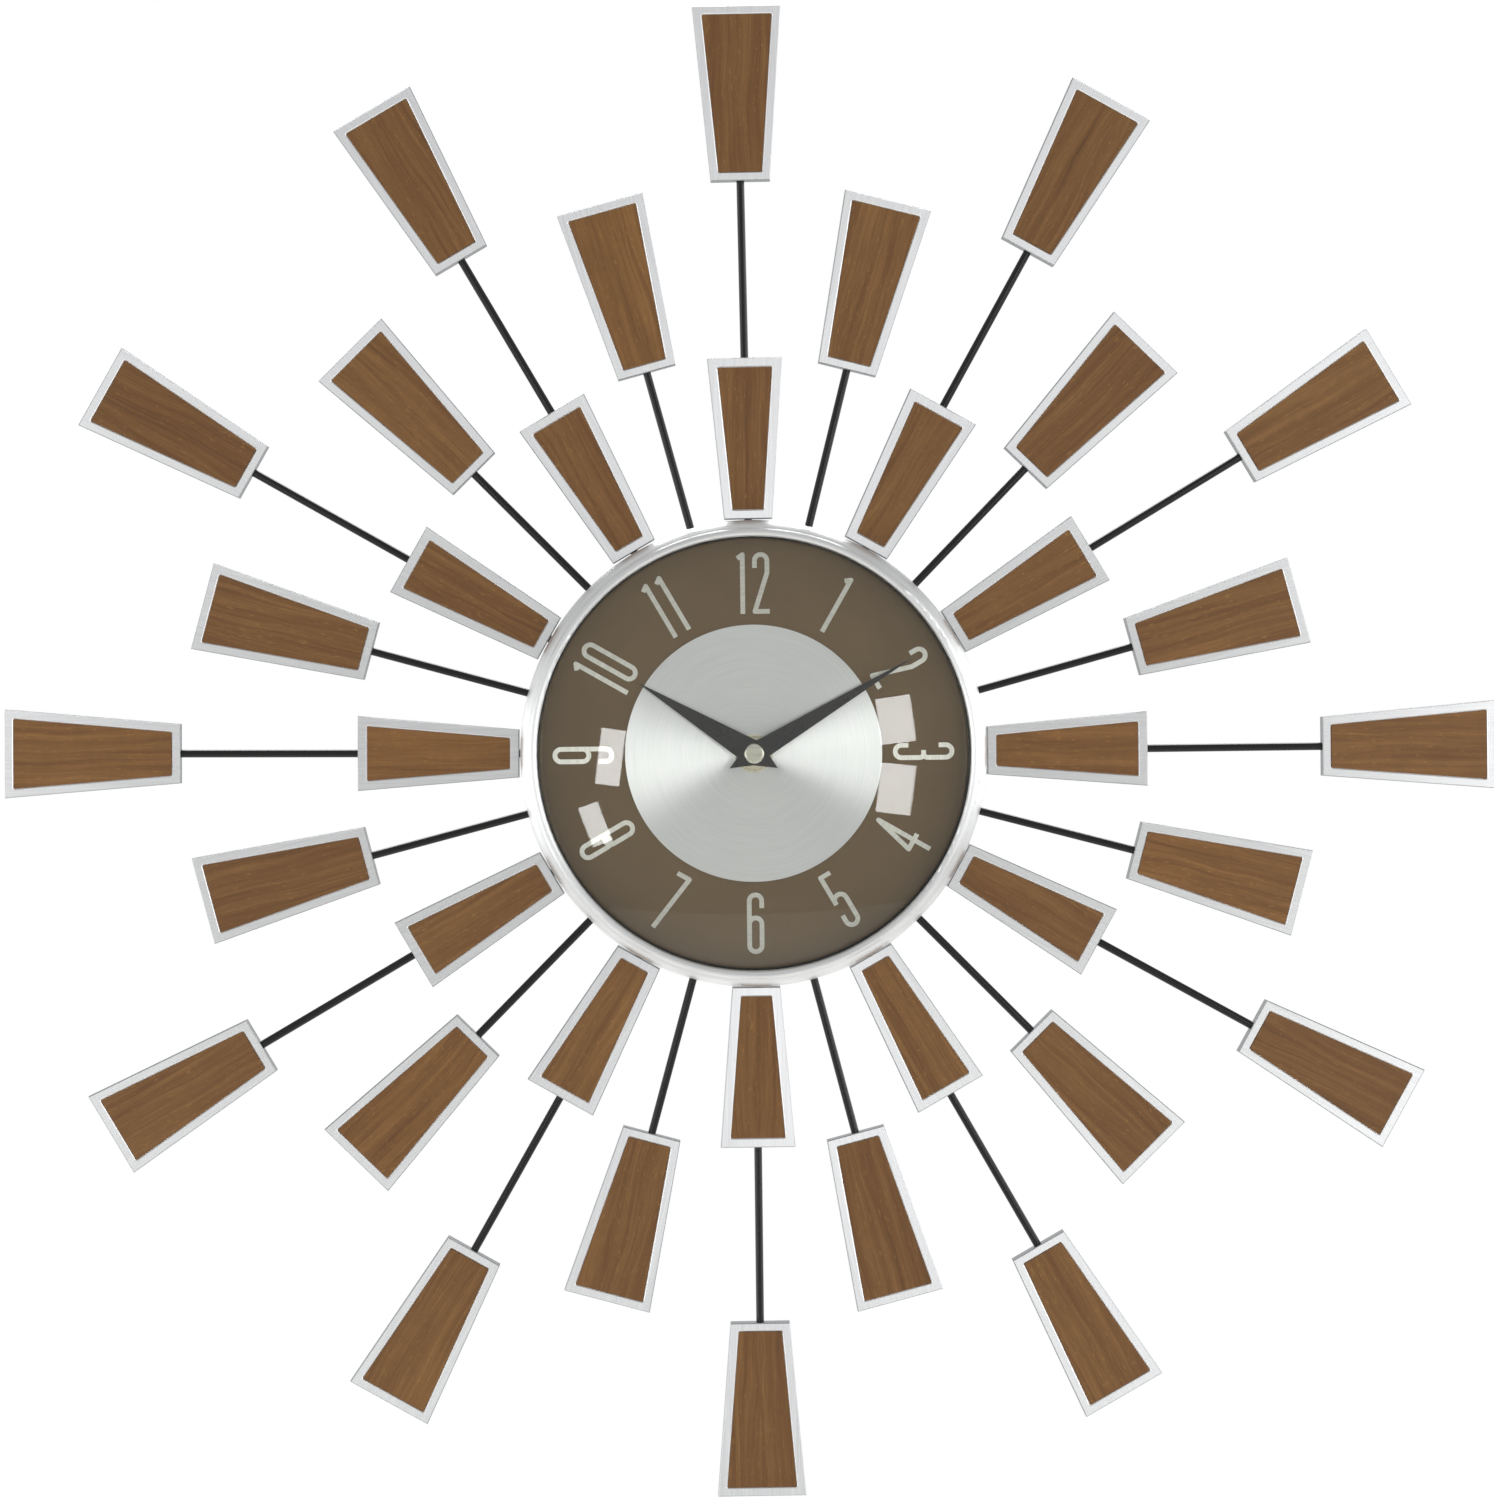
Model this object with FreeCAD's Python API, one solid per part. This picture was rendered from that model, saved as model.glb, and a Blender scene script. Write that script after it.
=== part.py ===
"""Sunburst wall clock: a round quartz clock in a ring of 24 spokes that carry 36 framed walnut blades.

Millimetres. X runs to the right as the clock is read, Z runs up, and the dial faces -Y. The origin is
on the axis of the hands, in the plane of the wall. Depths are distances in front of that plane, so a
point at depth d has y = -d. Angles round the dial are clockwise from twelve; angles inside the
movement are anticlockwise from +X.
"""

import FreeCAD
import Part

import math
import os

Vector = FreeCAD.Vector
BACK_TO_FRONT = Vector(0, -1, 0)
HAND_AXIS = Vector(0, 1, 0)

# ---- sunburst ------------------------------------------------------------------------------------
SPOKE_COUNT = 24
SPOKE_PITCH = 360 / SPOKE_COUNT
# Spokes are set by hand. Counted clockwise from twelve, some stand a little before their even place
# and some a little after it.
SPOKE_SLIP = 0.65
SPOKES_SET_EARLY = (0, 1, 2, 3, 4, 8)
SPOKES_SET_LATE = (9, 10, 11, 13, 17, 18, 19, 21)
SPOKE_RADIUS = 1.6
SPOKE_DEPTH = 25.0
SPOKE_INNER_END = 61.0
LONG_SPOKE_END = 288.0
SHORT_SPOKE_END = 216.0

BLADE_FRONT = 28.4
BLADE_BACK = 22.4
BLADE_SHEET = 0.8
BLADE_EDGE_BREAK = 0.35
RECESS_DEPTH = 1.1
RECESS_CORNER = 0.7
PANEL_THICKNESS = 0.85
PANEL_GAP = 0.18
SPOKE_NOTCH_GAP = 0.05

BIG_BLADE = {"length": 71.2, "inner_width": 24.2, "outer_width": 36.2, "border": 3.4}
SMALL_BLADE = {"length": 65.8, "inner_width": 19.6, "outer_width": 30.6, "border": 3.7}
INNER_RING_START = 95.8
MIDDLE_RING_START = 161.4
OUTER_RING_START = 233.8

# ---- hub -----------------------------------------------------------------------------------------
DRUM_RADIUS = 80.0
DRUM_SHEET = 1.0
DRUM_LIP = 7.0
DRUM_FLANGE_SETBACK = 4.0
CLAMP_INNER_RADIUS = 58.0
CLAMP_THICKNESS = 2.0
CLAMP_GRIP = 1.2
REAR_CLAMP_RADIUS = 90.0
CASE_RADIUS = 94.2
CASE_WALL = 2.6
GROOVE_GAP = 0.02

BEZEL_RADIUS = 95.2
BEZEL_LIP_RADIUS = 88.3
BEZEL_SHEET = 0.9
BEZEL_SKIRT_START = 26.9
BEAD_FACE = 1.3
BEAD_TOP = (1.6, 2.9)
BEAD_FOOT = (3.3, 2.1)
SHOULDER_MIDDLE_INSET = 1.0
SHOULDER_DROP = 3.4
INNER_BEAD_SHIFT = 0.1
INNER_FOOT_SHIFT = 0.3
INNER_SHOULDER_DROP = 0.5

DIAL_THICKNESS = 0.8
DIAL_RADIUS = 91.2
DIAL_BORE = 4.1
DISC_RADIUS = 52.6
DISC_THICKNESS = 0.5
NUMERAL_FOIL = 0.1

GASKET_INNER_RADIUS = 87.7
GASKET_THICKNESS = 1.0
LENS_RADIUS = 92.9
LENS_THICKNESS = 2.0
LENS_EDGE = 2.15
LENS_RISE = 13.0
BEZEL_LIP_CLEARANCE = 1.5

CLAMP_SCREW_COUNT = 6
CLAMP_SCREW_CIRCLE = 70.0
CLAMP_SCREW_RADIUS = 1.5
CLAMP_SCREW_HEAD_RADIUS = 2.8
CLAMP_SCREW_HEAD = 1.8
CLAMP_SCREW_HEAD_ROUND = 0.7
CROSS_SLOT_HALF_LENGTH = 1.5
CROSS_SLOT_HALF_WIDTH = 0.3
CROSS_SLOT_DEPTH = 0.9
SCREW_HOLE_GAP = 0.15
SCREW_THREAD_GAP = 0.02
SCREW_END_GAP = 0.2

HANGER_THICKNESS = 1.2
HANGER_HALF_WIDTH = 32.0
HANGER_BOTTOM = 54.0
HANGER_EDGE_GAP = 0.3
KEYHOLE_RADIUS = 4.5
KEYHOLE_HEIGHT = 61.0
KEYHOLE_SLOT_RADIUS = 2.3
KEYHOLE_SLOT_TOP = 69.0
RIVET_X = 26.0
RIVET_Z = 71.0
RIVET_RADIUS = 1.5
RIVET_HEAD_RADIUS = 2.6
RIVET_HEAD = 0.8
RIVET_HEAD_ROUND = 0.6
RIVET_HOLE_GAP = 0.05
RIVET_BACK = 0.1

# ---- depths that follow from the sunburst and the hub ----------------------------------------------
REAR_CLAMP_FRONT = SPOKE_DEPTH - CLAMP_GRIP / 2
REAR_CLAMP_BACK = REAR_CLAMP_FRONT - CLAMP_THICKNESS
CASE_BACK = SPOKE_DEPTH + CLAMP_GRIP / 2
CASE_FLANGE_FRONT = CASE_BACK + CLAMP_THICKNESS
DIAL_BACK = CASE_FLANGE_FRONT
DIAL_FRONT = DIAL_BACK + DIAL_THICKNESS
DISC_FRONT = DIAL_FRONT + DISC_THICKNESS
CASE_FRONT = 32.0
GASKET_FRONT = CASE_FRONT + GASKET_THICKNESS
LENS_EDGE_FRONT = GASKET_FRONT + LENS_EDGE
DRUM_FRONT = REAR_CLAMP_BACK

# ---- movement --------------------------------------------------------------------------------------
RUBBER_WASHER = 1.0
RUBBER_WASHER_RADIUS = 11.0
MOVEMENT_HALF = 28.0
MOVEMENT_CORNER = 2.0
MOVEMENT_DEPTH = 16.4
MOVEMENT_WALL = 1.2
MOVEMENT_FRONT = DIAL_BACK - RUBBER_WASHER
MOVEMENT_BACK = MOVEMENT_FRONT - MOVEMENT_DEPTH
CHAMBER_FRONT = MOVEMENT_FRONT - MOVEMENT_WALL
CHAMBER_BACK = MOVEMENT_BACK + MOVEMENT_WALL
BAY_TOP = -10.4
COVER_GAP = 0.1
COVER_RIM = 0.8
COVER_RIM_WALL = 1.0

BUSH_RADIUS = 4.0
BUSH_FRONT = 31.8
HOUR_TUBE_RADIUS = 2.55
MINUTE_TUBE_RADIUS = 1.6
SECONDS_ARBOR_RADIUS = 0.45
SHAFT_GAP = 0.06
ARBOR_RADIUS = 0.4
PIVOT_GAP = 0.04
INTERMEDIATE_STUD_RADIUS = 0.4
MINUTE_STUD_RADIUS = 0.6
PIVOT_DEPTH = 0.7
PIVOT_END_SHAKE = 0.1
STUD_ROOT = 0.5
STUD_END = 0.2
HOUR_COLLAR_WALL = 0.9
HOUR_COLLAR_END_SHAKE = 0.3
CLUTCH_SHOULDER = 0.6
CLUTCH_SHOULDER_WALL = 1.2
CLUTCH_CLIP_WALL = 0.5
CLUTCH_GAP = 0.05
MINUTE_THREAD_LENGTH = 1.6

BATTERY_RADIUS = 7.25
BATTERY_LENGTH = 49.2
BATTERY_NUB = 1.3
BATTERY_NUB_RADIUS = 2.7
BATTERY_Z = -18.9
BATTERY_DEPTH = 17.9
BATTERY_ROUND = 0.5
CONTACT_SHEET = 0.3
CONTACT_WALL_GAP = 0.02
CONTACT_CELL_GAP = 0.08
CONTACT_HALF_HEIGHT = 4.5
CONTACT_HALF_DEPTH = 4.0
FINGER_HALF_DEPTH = 2.5
FINGER_TIP_HALF_HEIGHT = 1.2
FINGER_ROOT = 1.0

# Tooth form, as shares of the module or of the pitch. Pinions are the wheels with few teeth.
MOST_PINION_LEAVES = 14
PINION_ADDENDUM = 0.75
WHEEL_ADDENDUM = 0.95
DEDENDUM = 1.3
TOOTH_HALF_THICKNESS = 0.20

# Teeth of the going train and of the motion work.
ROTOR_TEETH, INTERMEDIATE_TEETH, INTERMEDIATE_LEAVES, SECONDS_TEETH = 8, 48, 8, 40
SECONDS_LEAVES, THIRD_TEETH, THIRD_LEAVES, CENTRE_TEETH = 8, 60, 8, 64
CANNON_LEAVES, MINUTE_TEETH, MINUTE_LEAVES, HOUR_TEETH = 10, 30, 8, 32
SETTING_LEAVES = 12
ROTOR_MODULE = 0.22
SECONDS_MODULE = 0.27
MOTION_MODULE = 0.45
THIRD_DISTANCE = 8.6
THIRD_MODULE = 2 * THIRD_DISTANCE / (SECONDS_LEAVES + THIRD_TEETH)
CENTRE_MODULE = 2 * THIRD_DISTANCE / (THIRD_LEAVES + CENTRE_TEETH)

# Directions from each axis to the next, anticlockwise from +X, in degrees.
THIRD_DIRECTION = 180.0
INTERMEDIATE_DIRECTION = 60.0
ROTOR_DIRECTION = 60.0
MINUTE_DIRECTION = -8.0
SETTING_DIRECTION = 0.0

# Depth of each wheel's back face, and the width of its rim.
SECONDS_WHEEL_BACK = 12.2
INTERMEDIATE_WHEEL_BACK = 13.8
THIRD_WHEEL_BACK = 15.2
CENTRE_WHEEL_BACK = 17.0
MINUTE_WHEEL_BACK = 19.8
HOUR_WHEEL_BACK = 21.8
WHEEL_WIDTH = 0.8
PINION_OVERHANG = 0.25

ROTOR_MAGNET_RADIUS = 2.6
ROTOR_MAGNET_LENGTH = 3.0
ROTOR_MAGNET_BACK = INTERMEDIATE_WHEEL_BACK + WHEEL_WIDTH + 1.2
STATOR_GAP = 0.5
STATOR_EYE = 1.4
STATOR_THICKNESS = 1.2
STATOR_BAR_HALF_WIDTH = 1.6
STATOR_ARM_HALF_WIDTH = 1.3
STATOR_OVERREACH = 2.4
COIL_Z = 20.5
COIL_HALF_LENGTH = 9.0
COIL_RADIUS = 4.0
COIL_CORE = 1.3
BOBBIN_WALL = 0.9
BOBBIN_GAP = 0.05
WINDING_INSET = 0.4
WINDING_GAP = 0.02

BOARD_THICKNESS = 1.0
BOARD_BACK = 19.0
BOARD_LEFT, BOARD_RIGHT = -25.6, -9.0
BOARD_BOTTOM, BOARD_TOP = 8.4, 25.6
CHIP_X, CHIP_Z = -19.5, 18.5
CHIP_RADIUS = 3.0
CHIP_HEIGHT = 0.9
CHIP_ROUND = 0.8
CRYSTAL_X, CRYSTAL_BOTTOM = -13.0, 11.0
CRYSTAL_RADIUS = 1.0
CRYSTAL_LENGTH = 6.0
CRYSTAL_ROUND = 0.3
CRYSTAL_GAP = 0.05

KNOB_RADIUS = 6.0
KNOB_THICKNESS = 1.9
KNOB_BACK = 7.6
KNOB_SHAFT_RADIUS = 1.3
KNOB_FLUTES = 18
FLUTE_RADIUS = 0.7
FLUTE_OUTSET = 0.25

# ---- hands -----------------------------------------------------------------------------------------
HAND_SHEET = 0.5
HOUR_HAND_DEPTH = 32.8
MINUTE_HAND_DEPTH = 35.2
HOUR_HAND = {"tip": 56.0, "half_width": 5.3, "widest": 0.0, "tail": 11.4, "angle": 302.0}
MINUTE_HAND = {"tip": 76.5, "half_width": 4.4, "widest": -1.6, "tail": 11.6, "angle": 59.5}
HAND_COLLET = 0.9
HAND_COLLET_WALL = 1.1
HAND_FIT_GAP = 0.01
CAP_RADIUS = 4.1
CAP_THICKNESS = 2.9
CAP_ROUND = 0.9
CAP_THREAD_DEPTH = 1.7
THREAD_GAP = 0.02
BRASS_WASHER_RADIUS = 7.8
BRASS_WASHER = 0.6
WASHER_BORE_GAP = 0.1
NUT_RADIUS = 6.9
NUT_THICKNESS = 1.7
NUT_CHAMFER = 0.5

# ---- numerals --------------------------------------------------------------------------------------
NUMERAL_HEIGHT = 25.2
NUMERAL_STROKE = 1.95
NUMERAL_WIDTH = 7.05
NUMERAL_CENTRE_RADIUS = 69.6
DIGIT_SPACING = 7.5
DIGIT_SPACING_OF_ONES = 6.3
HOURS_WITH_HEAD_INWARDS = (4, 5, 6, 7, 8)
DEGREES_PER_HOUR = 30


SAME_PLACE = 1e-6
THROUGH = 1.0  # how far a cutter runs on past the face it opens


# ==== helpers =======================================================================================
def at(x, depth, z):
    return Vector(x, -depth, z)


def disc(radius, back, front, x=0.0, z=0.0):
    return Part.makeCylinder(radius, front - back, at(x, back, z), BACK_TO_FRONT)


def tube(inner, outer, back, front, x=0.0, z=0.0):
    return disc(outer, back, front, x, z).cut(disc(inner, back, front, x, z))


def block(x0, x1, back, front, z0, z1):
    return Part.makeBox(x1 - x0, front - back, z1 - z0, at(x0, front, z0))


def plate(outline, back, front):
    """A flat plate with a straight-sided outline of (x, z) points."""
    corners = [at(x, back, z) for x, z in outline]
    face = Part.Face(Part.makePolygon(corners + corners[:1]))
    return face.extrude(BACK_TO_FRONT * (front - back))


def edges_at(shape, depth):
    return [e for e in shape.Edges if all(abs(v.Y + depth) < SAME_PLACE for v in e.Vertexes)]


def edges_front_to_back(shape):
    return [e for e in shape.Edges if abs(e.Vertexes[0].Y - e.Vertexes[-1].Y) > SAME_PLACE]


def round_edges(shape):
    return [e for e in shape.Edges if e.Curve.TypeId == "Part::GeomCircle"]


def turned(edges):
    """A ring or dish turned round the hand axis from closed profile edges in the x = radius plane."""
    face = Part.Face(Part.Wire(edges))
    return face.revolve(Vector(0, 0, 0), HAND_AXIS, 360)


def profile_line(start, end):
    return Part.makeLine(at(start[0], start[1], 0), at(end[0], end[1], 0))


def profile_arc(start, middle, end):
    return Part.Arc(*(at(r, d, 0) for r, d in (start, middle, end))).toShape()


def turned_polygon(points):
    return turned([profile_line(p, q) for p, q in zip(points, points[1:] + points[:1])])


def swung(shape, clockwise_degrees):
    """A copy turned round the hand axis, clockwise as the dial is read."""
    copy = shape.copy()
    copy.rotate(Vector(0, 0, 0), HAND_AXIS, clockwise_degrees)
    return copy


def joined(solids):
    first, *rest = solids
    return first.fuse(rest).removeSplitter() if rest else first


def polar(distance, degrees):
    return distance * math.cos(math.radians(degrees)), distance * math.sin(math.radians(degrees))


# ==== sunburst ======================================================================================
def spoke_angle(index):
    slip = (index in SPOKES_SET_LATE) - (index in SPOKES_SET_EARLY)
    return index * SPOKE_PITCH + slip * SPOKE_SLIP


LONG_SPOKES = [spoke_angle(i) for i in range(0, SPOKE_COUNT, 2)]
SHORT_SPOKES = [spoke_angle(i) for i in range(1, SPOKE_COUNT, 2)]


def spoke(end, radius=SPOKE_RADIUS, start=SPOKE_INNER_END):
    """A round rod along +Z, the direction of twelve."""
    return Part.makeCylinder(radius, end - start, at(0, SPOKE_DEPTH, start), Vector(0, 0, 1))


def blade_outline(blade, start, inset):
    """The tapered outline, moved inwards by inset on all four sides."""
    length, inner, outer = blade["length"], blade["inner_width"] / 2, blade["outer_width"] / 2
    slope = (outer - inner) / length
    side_inset = inset * math.hypot(1, slope)
    low, high = inset, length - inset
    half_low = inner + slope * low - side_inset
    half_high = inner + slope * high - side_inset
    return [(-half_low, start + low), (half_low, start + low),
            (half_high, start + high), (-half_high, start + high)]


def rounded_plate(blade, start, inset, corner, back, front):
    """A plate inside the blade's outline with round corners."""
    solid = plate(blade_outline(blade, start, inset), back, front)
    return solid.makeFillet(corner, edges_front_to_back(solid))


def blade_tray(blade, start, spoke_passes_through):
    """A pressed tray: a bright border round a sunk floor, with its four walls turned back."""
    border = blade["border"]
    floor_front = BLADE_FRONT - RECESS_DEPTH
    floor_back = SPOKE_DEPTH + SPOKE_RADIUS
    tray = plate(blade_outline(blade, start, 0), BLADE_BACK, BLADE_FRONT)
    tray = tray.cut(rounded_plate(blade, start, border, RECESS_CORNER, floor_front, BLADE_FRONT + THROUGH))
    tray = tray.makeChamfer(BLADE_EDGE_BREAK, edges_at(tray, BLADE_FRONT))
    tray = tray.cut(plate(blade_outline(blade, start, BLADE_SHEET), BLADE_BACK - THROUGH, floor_back))
    channel = plate(blade_outline(blade, start, BLADE_SHEET), floor_back - THROUGH, BLADE_FRONT - BLADE_SHEET)
    recess_wall = rounded_plate(blade, start, border - BLADE_SHEET, RECESS_CORNER + BLADE_SHEET,
                                floor_back - 2 * THROUGH, BLADE_FRONT)
    tray = tray.cut(channel.cut(recess_wall))
    notch_end = start + (blade["length"] + THROUGH if spoke_passes_through else blade["length"] / 2)
    return tray.cut(spoke(notch_end, SPOKE_RADIUS + SPOKE_NOTCH_GAP, start - THROUGH))


def blade_panel(blade, start):
    """The walnut-faced board glued to the floor of the tray."""
    back = BLADE_FRONT - RECESS_DEPTH
    return rounded_plate(blade, start, blade["border"] + PANEL_GAP, RECESS_CORNER - PANEL_GAP,
                         back, back + PANEL_THICKNESS)


def ring_of(shape, angles):
    return Part.makeCompound([swung(shape, angle) for angle in angles])


def sunburst():
    return {
        "long_spokes": ring_of(spoke(LONG_SPOKE_END), LONG_SPOKES),
        "short_spokes": ring_of(spoke(SHORT_SPOKE_END), SHORT_SPOKES),
        "outer_blade_frames": ring_of(blade_tray(BIG_BLADE, OUTER_RING_START, False), LONG_SPOKES),
        "middle_blade_frames": ring_of(blade_tray(BIG_BLADE, MIDDLE_RING_START, False), SHORT_SPOKES),
        "inner_blade_frames": ring_of(blade_tray(SMALL_BLADE, INNER_RING_START, True), LONG_SPOKES),
        "outer_blade_panels": ring_of(blade_panel(BIG_BLADE, OUTER_RING_START), LONG_SPOKES),
        "middle_blade_panels": ring_of(blade_panel(BIG_BLADE, MIDDLE_RING_START), SHORT_SPOKES),
        "inner_blade_panels": ring_of(blade_panel(SMALL_BLADE, INNER_RING_START), LONG_SPOKES),
    }


# ==== hub ===========================================================================================
def spoke_grooves():
    cutter = spoke(CASE_RADIUS + THROUGH, SPOKE_RADIUS + GROOVE_GAP)
    return [swung(cutter, angle) for angle in LONG_SPOKES + SHORT_SPOKES]


def clamp_screw_angles():
    return [SPOKE_PITCH / 2 + k * 360 / CLAMP_SCREW_COUNT for k in range(CLAMP_SCREW_COUNT)]


def clamp_screw_bores(radius):
    back = DRUM_FRONT - DRUM_SHEET - THROUGH
    bore = disc(radius, back, CASE_FLANGE_FRONT + THROUGH, 0, CLAMP_SCREW_CIRCLE)
    return [swung(bore, angle) for angle in clamp_screw_angles()]


def rivet_bores(back, front):
    return [disc(RIVET_RADIUS + RIVET_HOLE_GAP, back, front, side * RIVET_X, RIVET_Z) for side in (-1, 1)]


def rear_drum():
    """A drawn steel drum: front flange, wall, and a lip that rests on the wall of the room."""
    outer, inner = DRUM_RADIUS, DRUM_RADIUS - DRUM_SHEET
    lip, flange = DRUM_RADIUS - DRUM_LIP, CLAMP_INNER_RADIUS + DRUM_FLANGE_SETBACK
    drum = turned_polygon([
        (outer, 0), (outer, DRUM_FRONT), (flange, DRUM_FRONT), (flange, DRUM_FRONT - DRUM_SHEET),
        (inner, DRUM_FRONT - DRUM_SHEET), (inner, DRUM_SHEET), (lip, DRUM_SHEET), (lip, 0)])
    screw_bores = clamp_screw_bores(CLAMP_SCREW_RADIUS + SCREW_HOLE_GAP)
    return drum.cut(screw_bores + rivet_bores(-THROUGH, DRUM_SHEET + THROUGH))


def rear_clamp_ring():
    ring = tube(CLAMP_INNER_RADIUS, REAR_CLAMP_RADIUS, REAR_CLAMP_BACK, REAR_CLAMP_FRONT)
    return ring.cut(spoke_grooves() + clamp_screw_bores(CLAMP_SCREW_RADIUS + SCREW_HOLE_GAP))


def case_ring():
    """The moulded case ring: its flange clamps the spokes and carries the dial, its wall carries the lens."""
    wall = CASE_RADIUS - CASE_WALL
    ring = turned_polygon([
        (CLAMP_INNER_RADIUS, CASE_BACK), (CASE_RADIUS, CASE_BACK), (CASE_RADIUS, CASE_FRONT),
        (wall, CASE_FRONT), (wall, CASE_FLANGE_FRONT), (CLAMP_INNER_RADIUS, CASE_FLANGE_FRONT)])
    return ring.cut(spoke_grooves() + clamp_screw_bores(CLAMP_SCREW_RADIUS + SCREW_THREAD_GAP))


def clamp_screws():
    """Pan-head screws that pull the drum and the rear ring up to the case ring."""
    head_front = DRUM_FRONT - DRUM_SHEET
    back = head_front - CLAMP_SCREW_HEAD
    z = CLAMP_SCREW_CIRCLE
    head = disc(CLAMP_SCREW_HEAD_RADIUS, back, head_front, 0, z)
    head = head.makeFillet(CLAMP_SCREW_HEAD_ROUND, edges_at(head, back))
    shank = disc(CLAMP_SCREW_RADIUS, head_front, CASE_FLANGE_FRONT - SCREW_END_GAP, 0, z)
    long, short = CROSS_SLOT_HALF_LENGTH, CROSS_SLOT_HALF_WIDTH
    slots = [block(-a, a, back - THROUGH, back + CROSS_SLOT_DEPTH, z - b, z + b)
             for a, b in ((long, short), (short, long))]
    screw = head.fuse(shank).removeSplitter().cut(slots)
    return ring_of(screw, clamp_screw_angles())


def hanger_plate():
    """The keyhole strap that hooks over the wall screw, riveted inside the drum's rear lip."""
    back, front = DRUM_SHEET, DRUM_SHEET + HANGER_THICKNESS
    strap = block(-HANGER_HALF_WIDTH, HANGER_HALF_WIDTH, back, front, HANGER_BOTTOM, DRUM_RADIUS)
    strap = strap.common(disc(DRUM_RADIUS - DRUM_SHEET - HANGER_EDGE_GAP, back, front))
    slot = disc(KEYHOLE_SLOT_RADIUS, back, front, 0, KEYHOLE_SLOT_TOP)
    neck = block(-KEYHOLE_SLOT_RADIUS, KEYHOLE_SLOT_RADIUS, back, front, KEYHOLE_HEIGHT, KEYHOLE_SLOT_TOP)
    keyhole = disc(KEYHOLE_RADIUS, back, front, 0, KEYHOLE_HEIGHT)
    return strap.cut([keyhole, slot, neck] + rivet_bores(back, front))


def hanger_rivets():
    head_back = DRUM_SHEET + HANGER_THICKNESS
    head_front = head_back + RIVET_HEAD
    made = []
    for side in (-1, 1):
        shank = disc(RIVET_RADIUS, RIVET_BACK, head_back, side * RIVET_X, RIVET_Z)
        head = disc(RIVET_HEAD_RADIUS, head_back, head_front, side * RIVET_X, RIVET_Z)
        head = head.makeFillet(RIVET_HEAD_ROUND, edges_at(head, head_front))
        made.append(head.fuse(shank).removeSplitter())
    return Part.makeCompound(made)


def bezel():
    """A spun bezel: a round bead over the lens, a soft shoulder, and a straight skirt over the case ring."""
    lip, edge, skin = BEZEL_LIP_RADIUS, BEZEL_RADIUS, BEZEL_SHEET
    base = LENS_EDGE_FRONT + BEZEL_LIP_CLEARANCE
    shoulder = base - SHOULDER_DROP
    face = (lip, base + BEAD_FACE)
    bead = (lip + BEAD_TOP[0], base + BEAD_TOP[1])
    foot = (lip + BEAD_FOOT[0], base + BEAD_FOOT[1])
    inner_face = (lip + skin, base + BEAD_FACE)
    inner_bead = (bead[0] + INNER_BEAD_SHIFT, bead[1] - skin)
    inner_foot = (foot[0] - INNER_FOOT_SHIFT, foot[1] - skin)
    inner_shoulder = (edge - SHOULDER_MIDDLE_INSET - skin + INNER_BEAD_SHIFT, base - INNER_SHOULDER_DROP)
    return turned([
        profile_line((lip, base), face),
        profile_arc(face, bead, foot),
        profile_arc(foot, (edge - SHOULDER_MIDDLE_INSET, base), (edge, shoulder)),
        profile_line((edge, shoulder), (edge, BEZEL_SKIRT_START)),
        profile_line((edge, BEZEL_SKIRT_START), (edge - skin, BEZEL_SKIRT_START)),
        profile_line((edge - skin, BEZEL_SKIRT_START), (edge - skin, shoulder)),
        profile_arc((edge - skin, shoulder), inner_shoulder, inner_foot),
        profile_arc(inner_foot, inner_bead, inner_face),
        profile_line(inner_face, (lip + skin, base)),
        profile_line((lip + skin, base), (lip, base)),
    ])


def bezel():
    """A spun bezel: a round bead over the lens, a soft shoulder, and a straight skirt over the case ring."""
    lip, edge, skin = BEZEL_LIP_RADIUS, BEZEL_RADIUS, BEZEL_SHEET
    base = LENS_EDGE_FRONT + BEZEL_LIP_CLEARANCE
    bead_top, waist, shoulder = base + 2.9, base + 2.1, base - 3.4
    waist_r = lip + 3.3
    return turned([
        profile_line((lip, base), (lip, base + 1.3)),
        profile_arc((lip, base + 1.3), (lip + 1.6, bead_top), (waist_r, waist)),
        profile_arc((waist_r, waist), (edge - 1.0, base + 0.0), (edge, shoulder)),
        profile_line((edge, shoulder), (edge, BEZEL_SKIRT_START)),
        profile_line((edge, BEZEL_SKIRT_START), (edge - skin, BEZEL_SKIRT_START)),
        profile_line((edge - skin, BEZEL_SKIRT_START), (edge - skin, shoulder)),
        profile_arc((edge - skin, shoulder), (edge - 1.8, base - 0.5), (waist_r - 0.3, waist - skin)),
        profile_arc((waist_r - 0.3, waist - skin), (lip + 1.7, bead_top - skin), (lip + skin, base + 1.3)),
        profile_line((lip + skin, base + 1.3), (lip + skin, base)),
        profile_line((lip + skin, base), (lip, base)),
    ])


def lens_gasket():
    return tube(GASKET_INNER_RADIUS, LENS_RADIUS, CASE_FRONT, GASKET_FRONT)


def lens():
    """A domed glass of even thickness with a ground edge."""
    edge, rise, glass = LENS_RADIUS, LENS_RISE, LENS_THICKNESS
    sphere = (edge ** 2 + rise ** 2) / (2 * rise)
    centre = LENS_EDGE_FRONT + rise - sphere
    half = edge / 2
    outer_middle = (half, centre + math.sqrt(sphere ** 2 - half ** 2))
    inner = sphere - glass
    apex = centre + inner
    inner_edge_depth = centre + math.sqrt(inner ** 2 - edge ** 2)
    inner_middle = (half, centre + math.sqrt(inner ** 2 - half ** 2))
    return turned([
        profile_line((0, apex), (0, apex + glass)),
        profile_arc((0, apex + glass), outer_middle, (edge, LENS_EDGE_FRONT)),
        profile_line((edge, LENS_EDGE_FRONT), (edge, inner_edge_depth)),
        profile_arc((edge, inner_edge_depth), inner_middle, (0, apex)),
    ])


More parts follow.
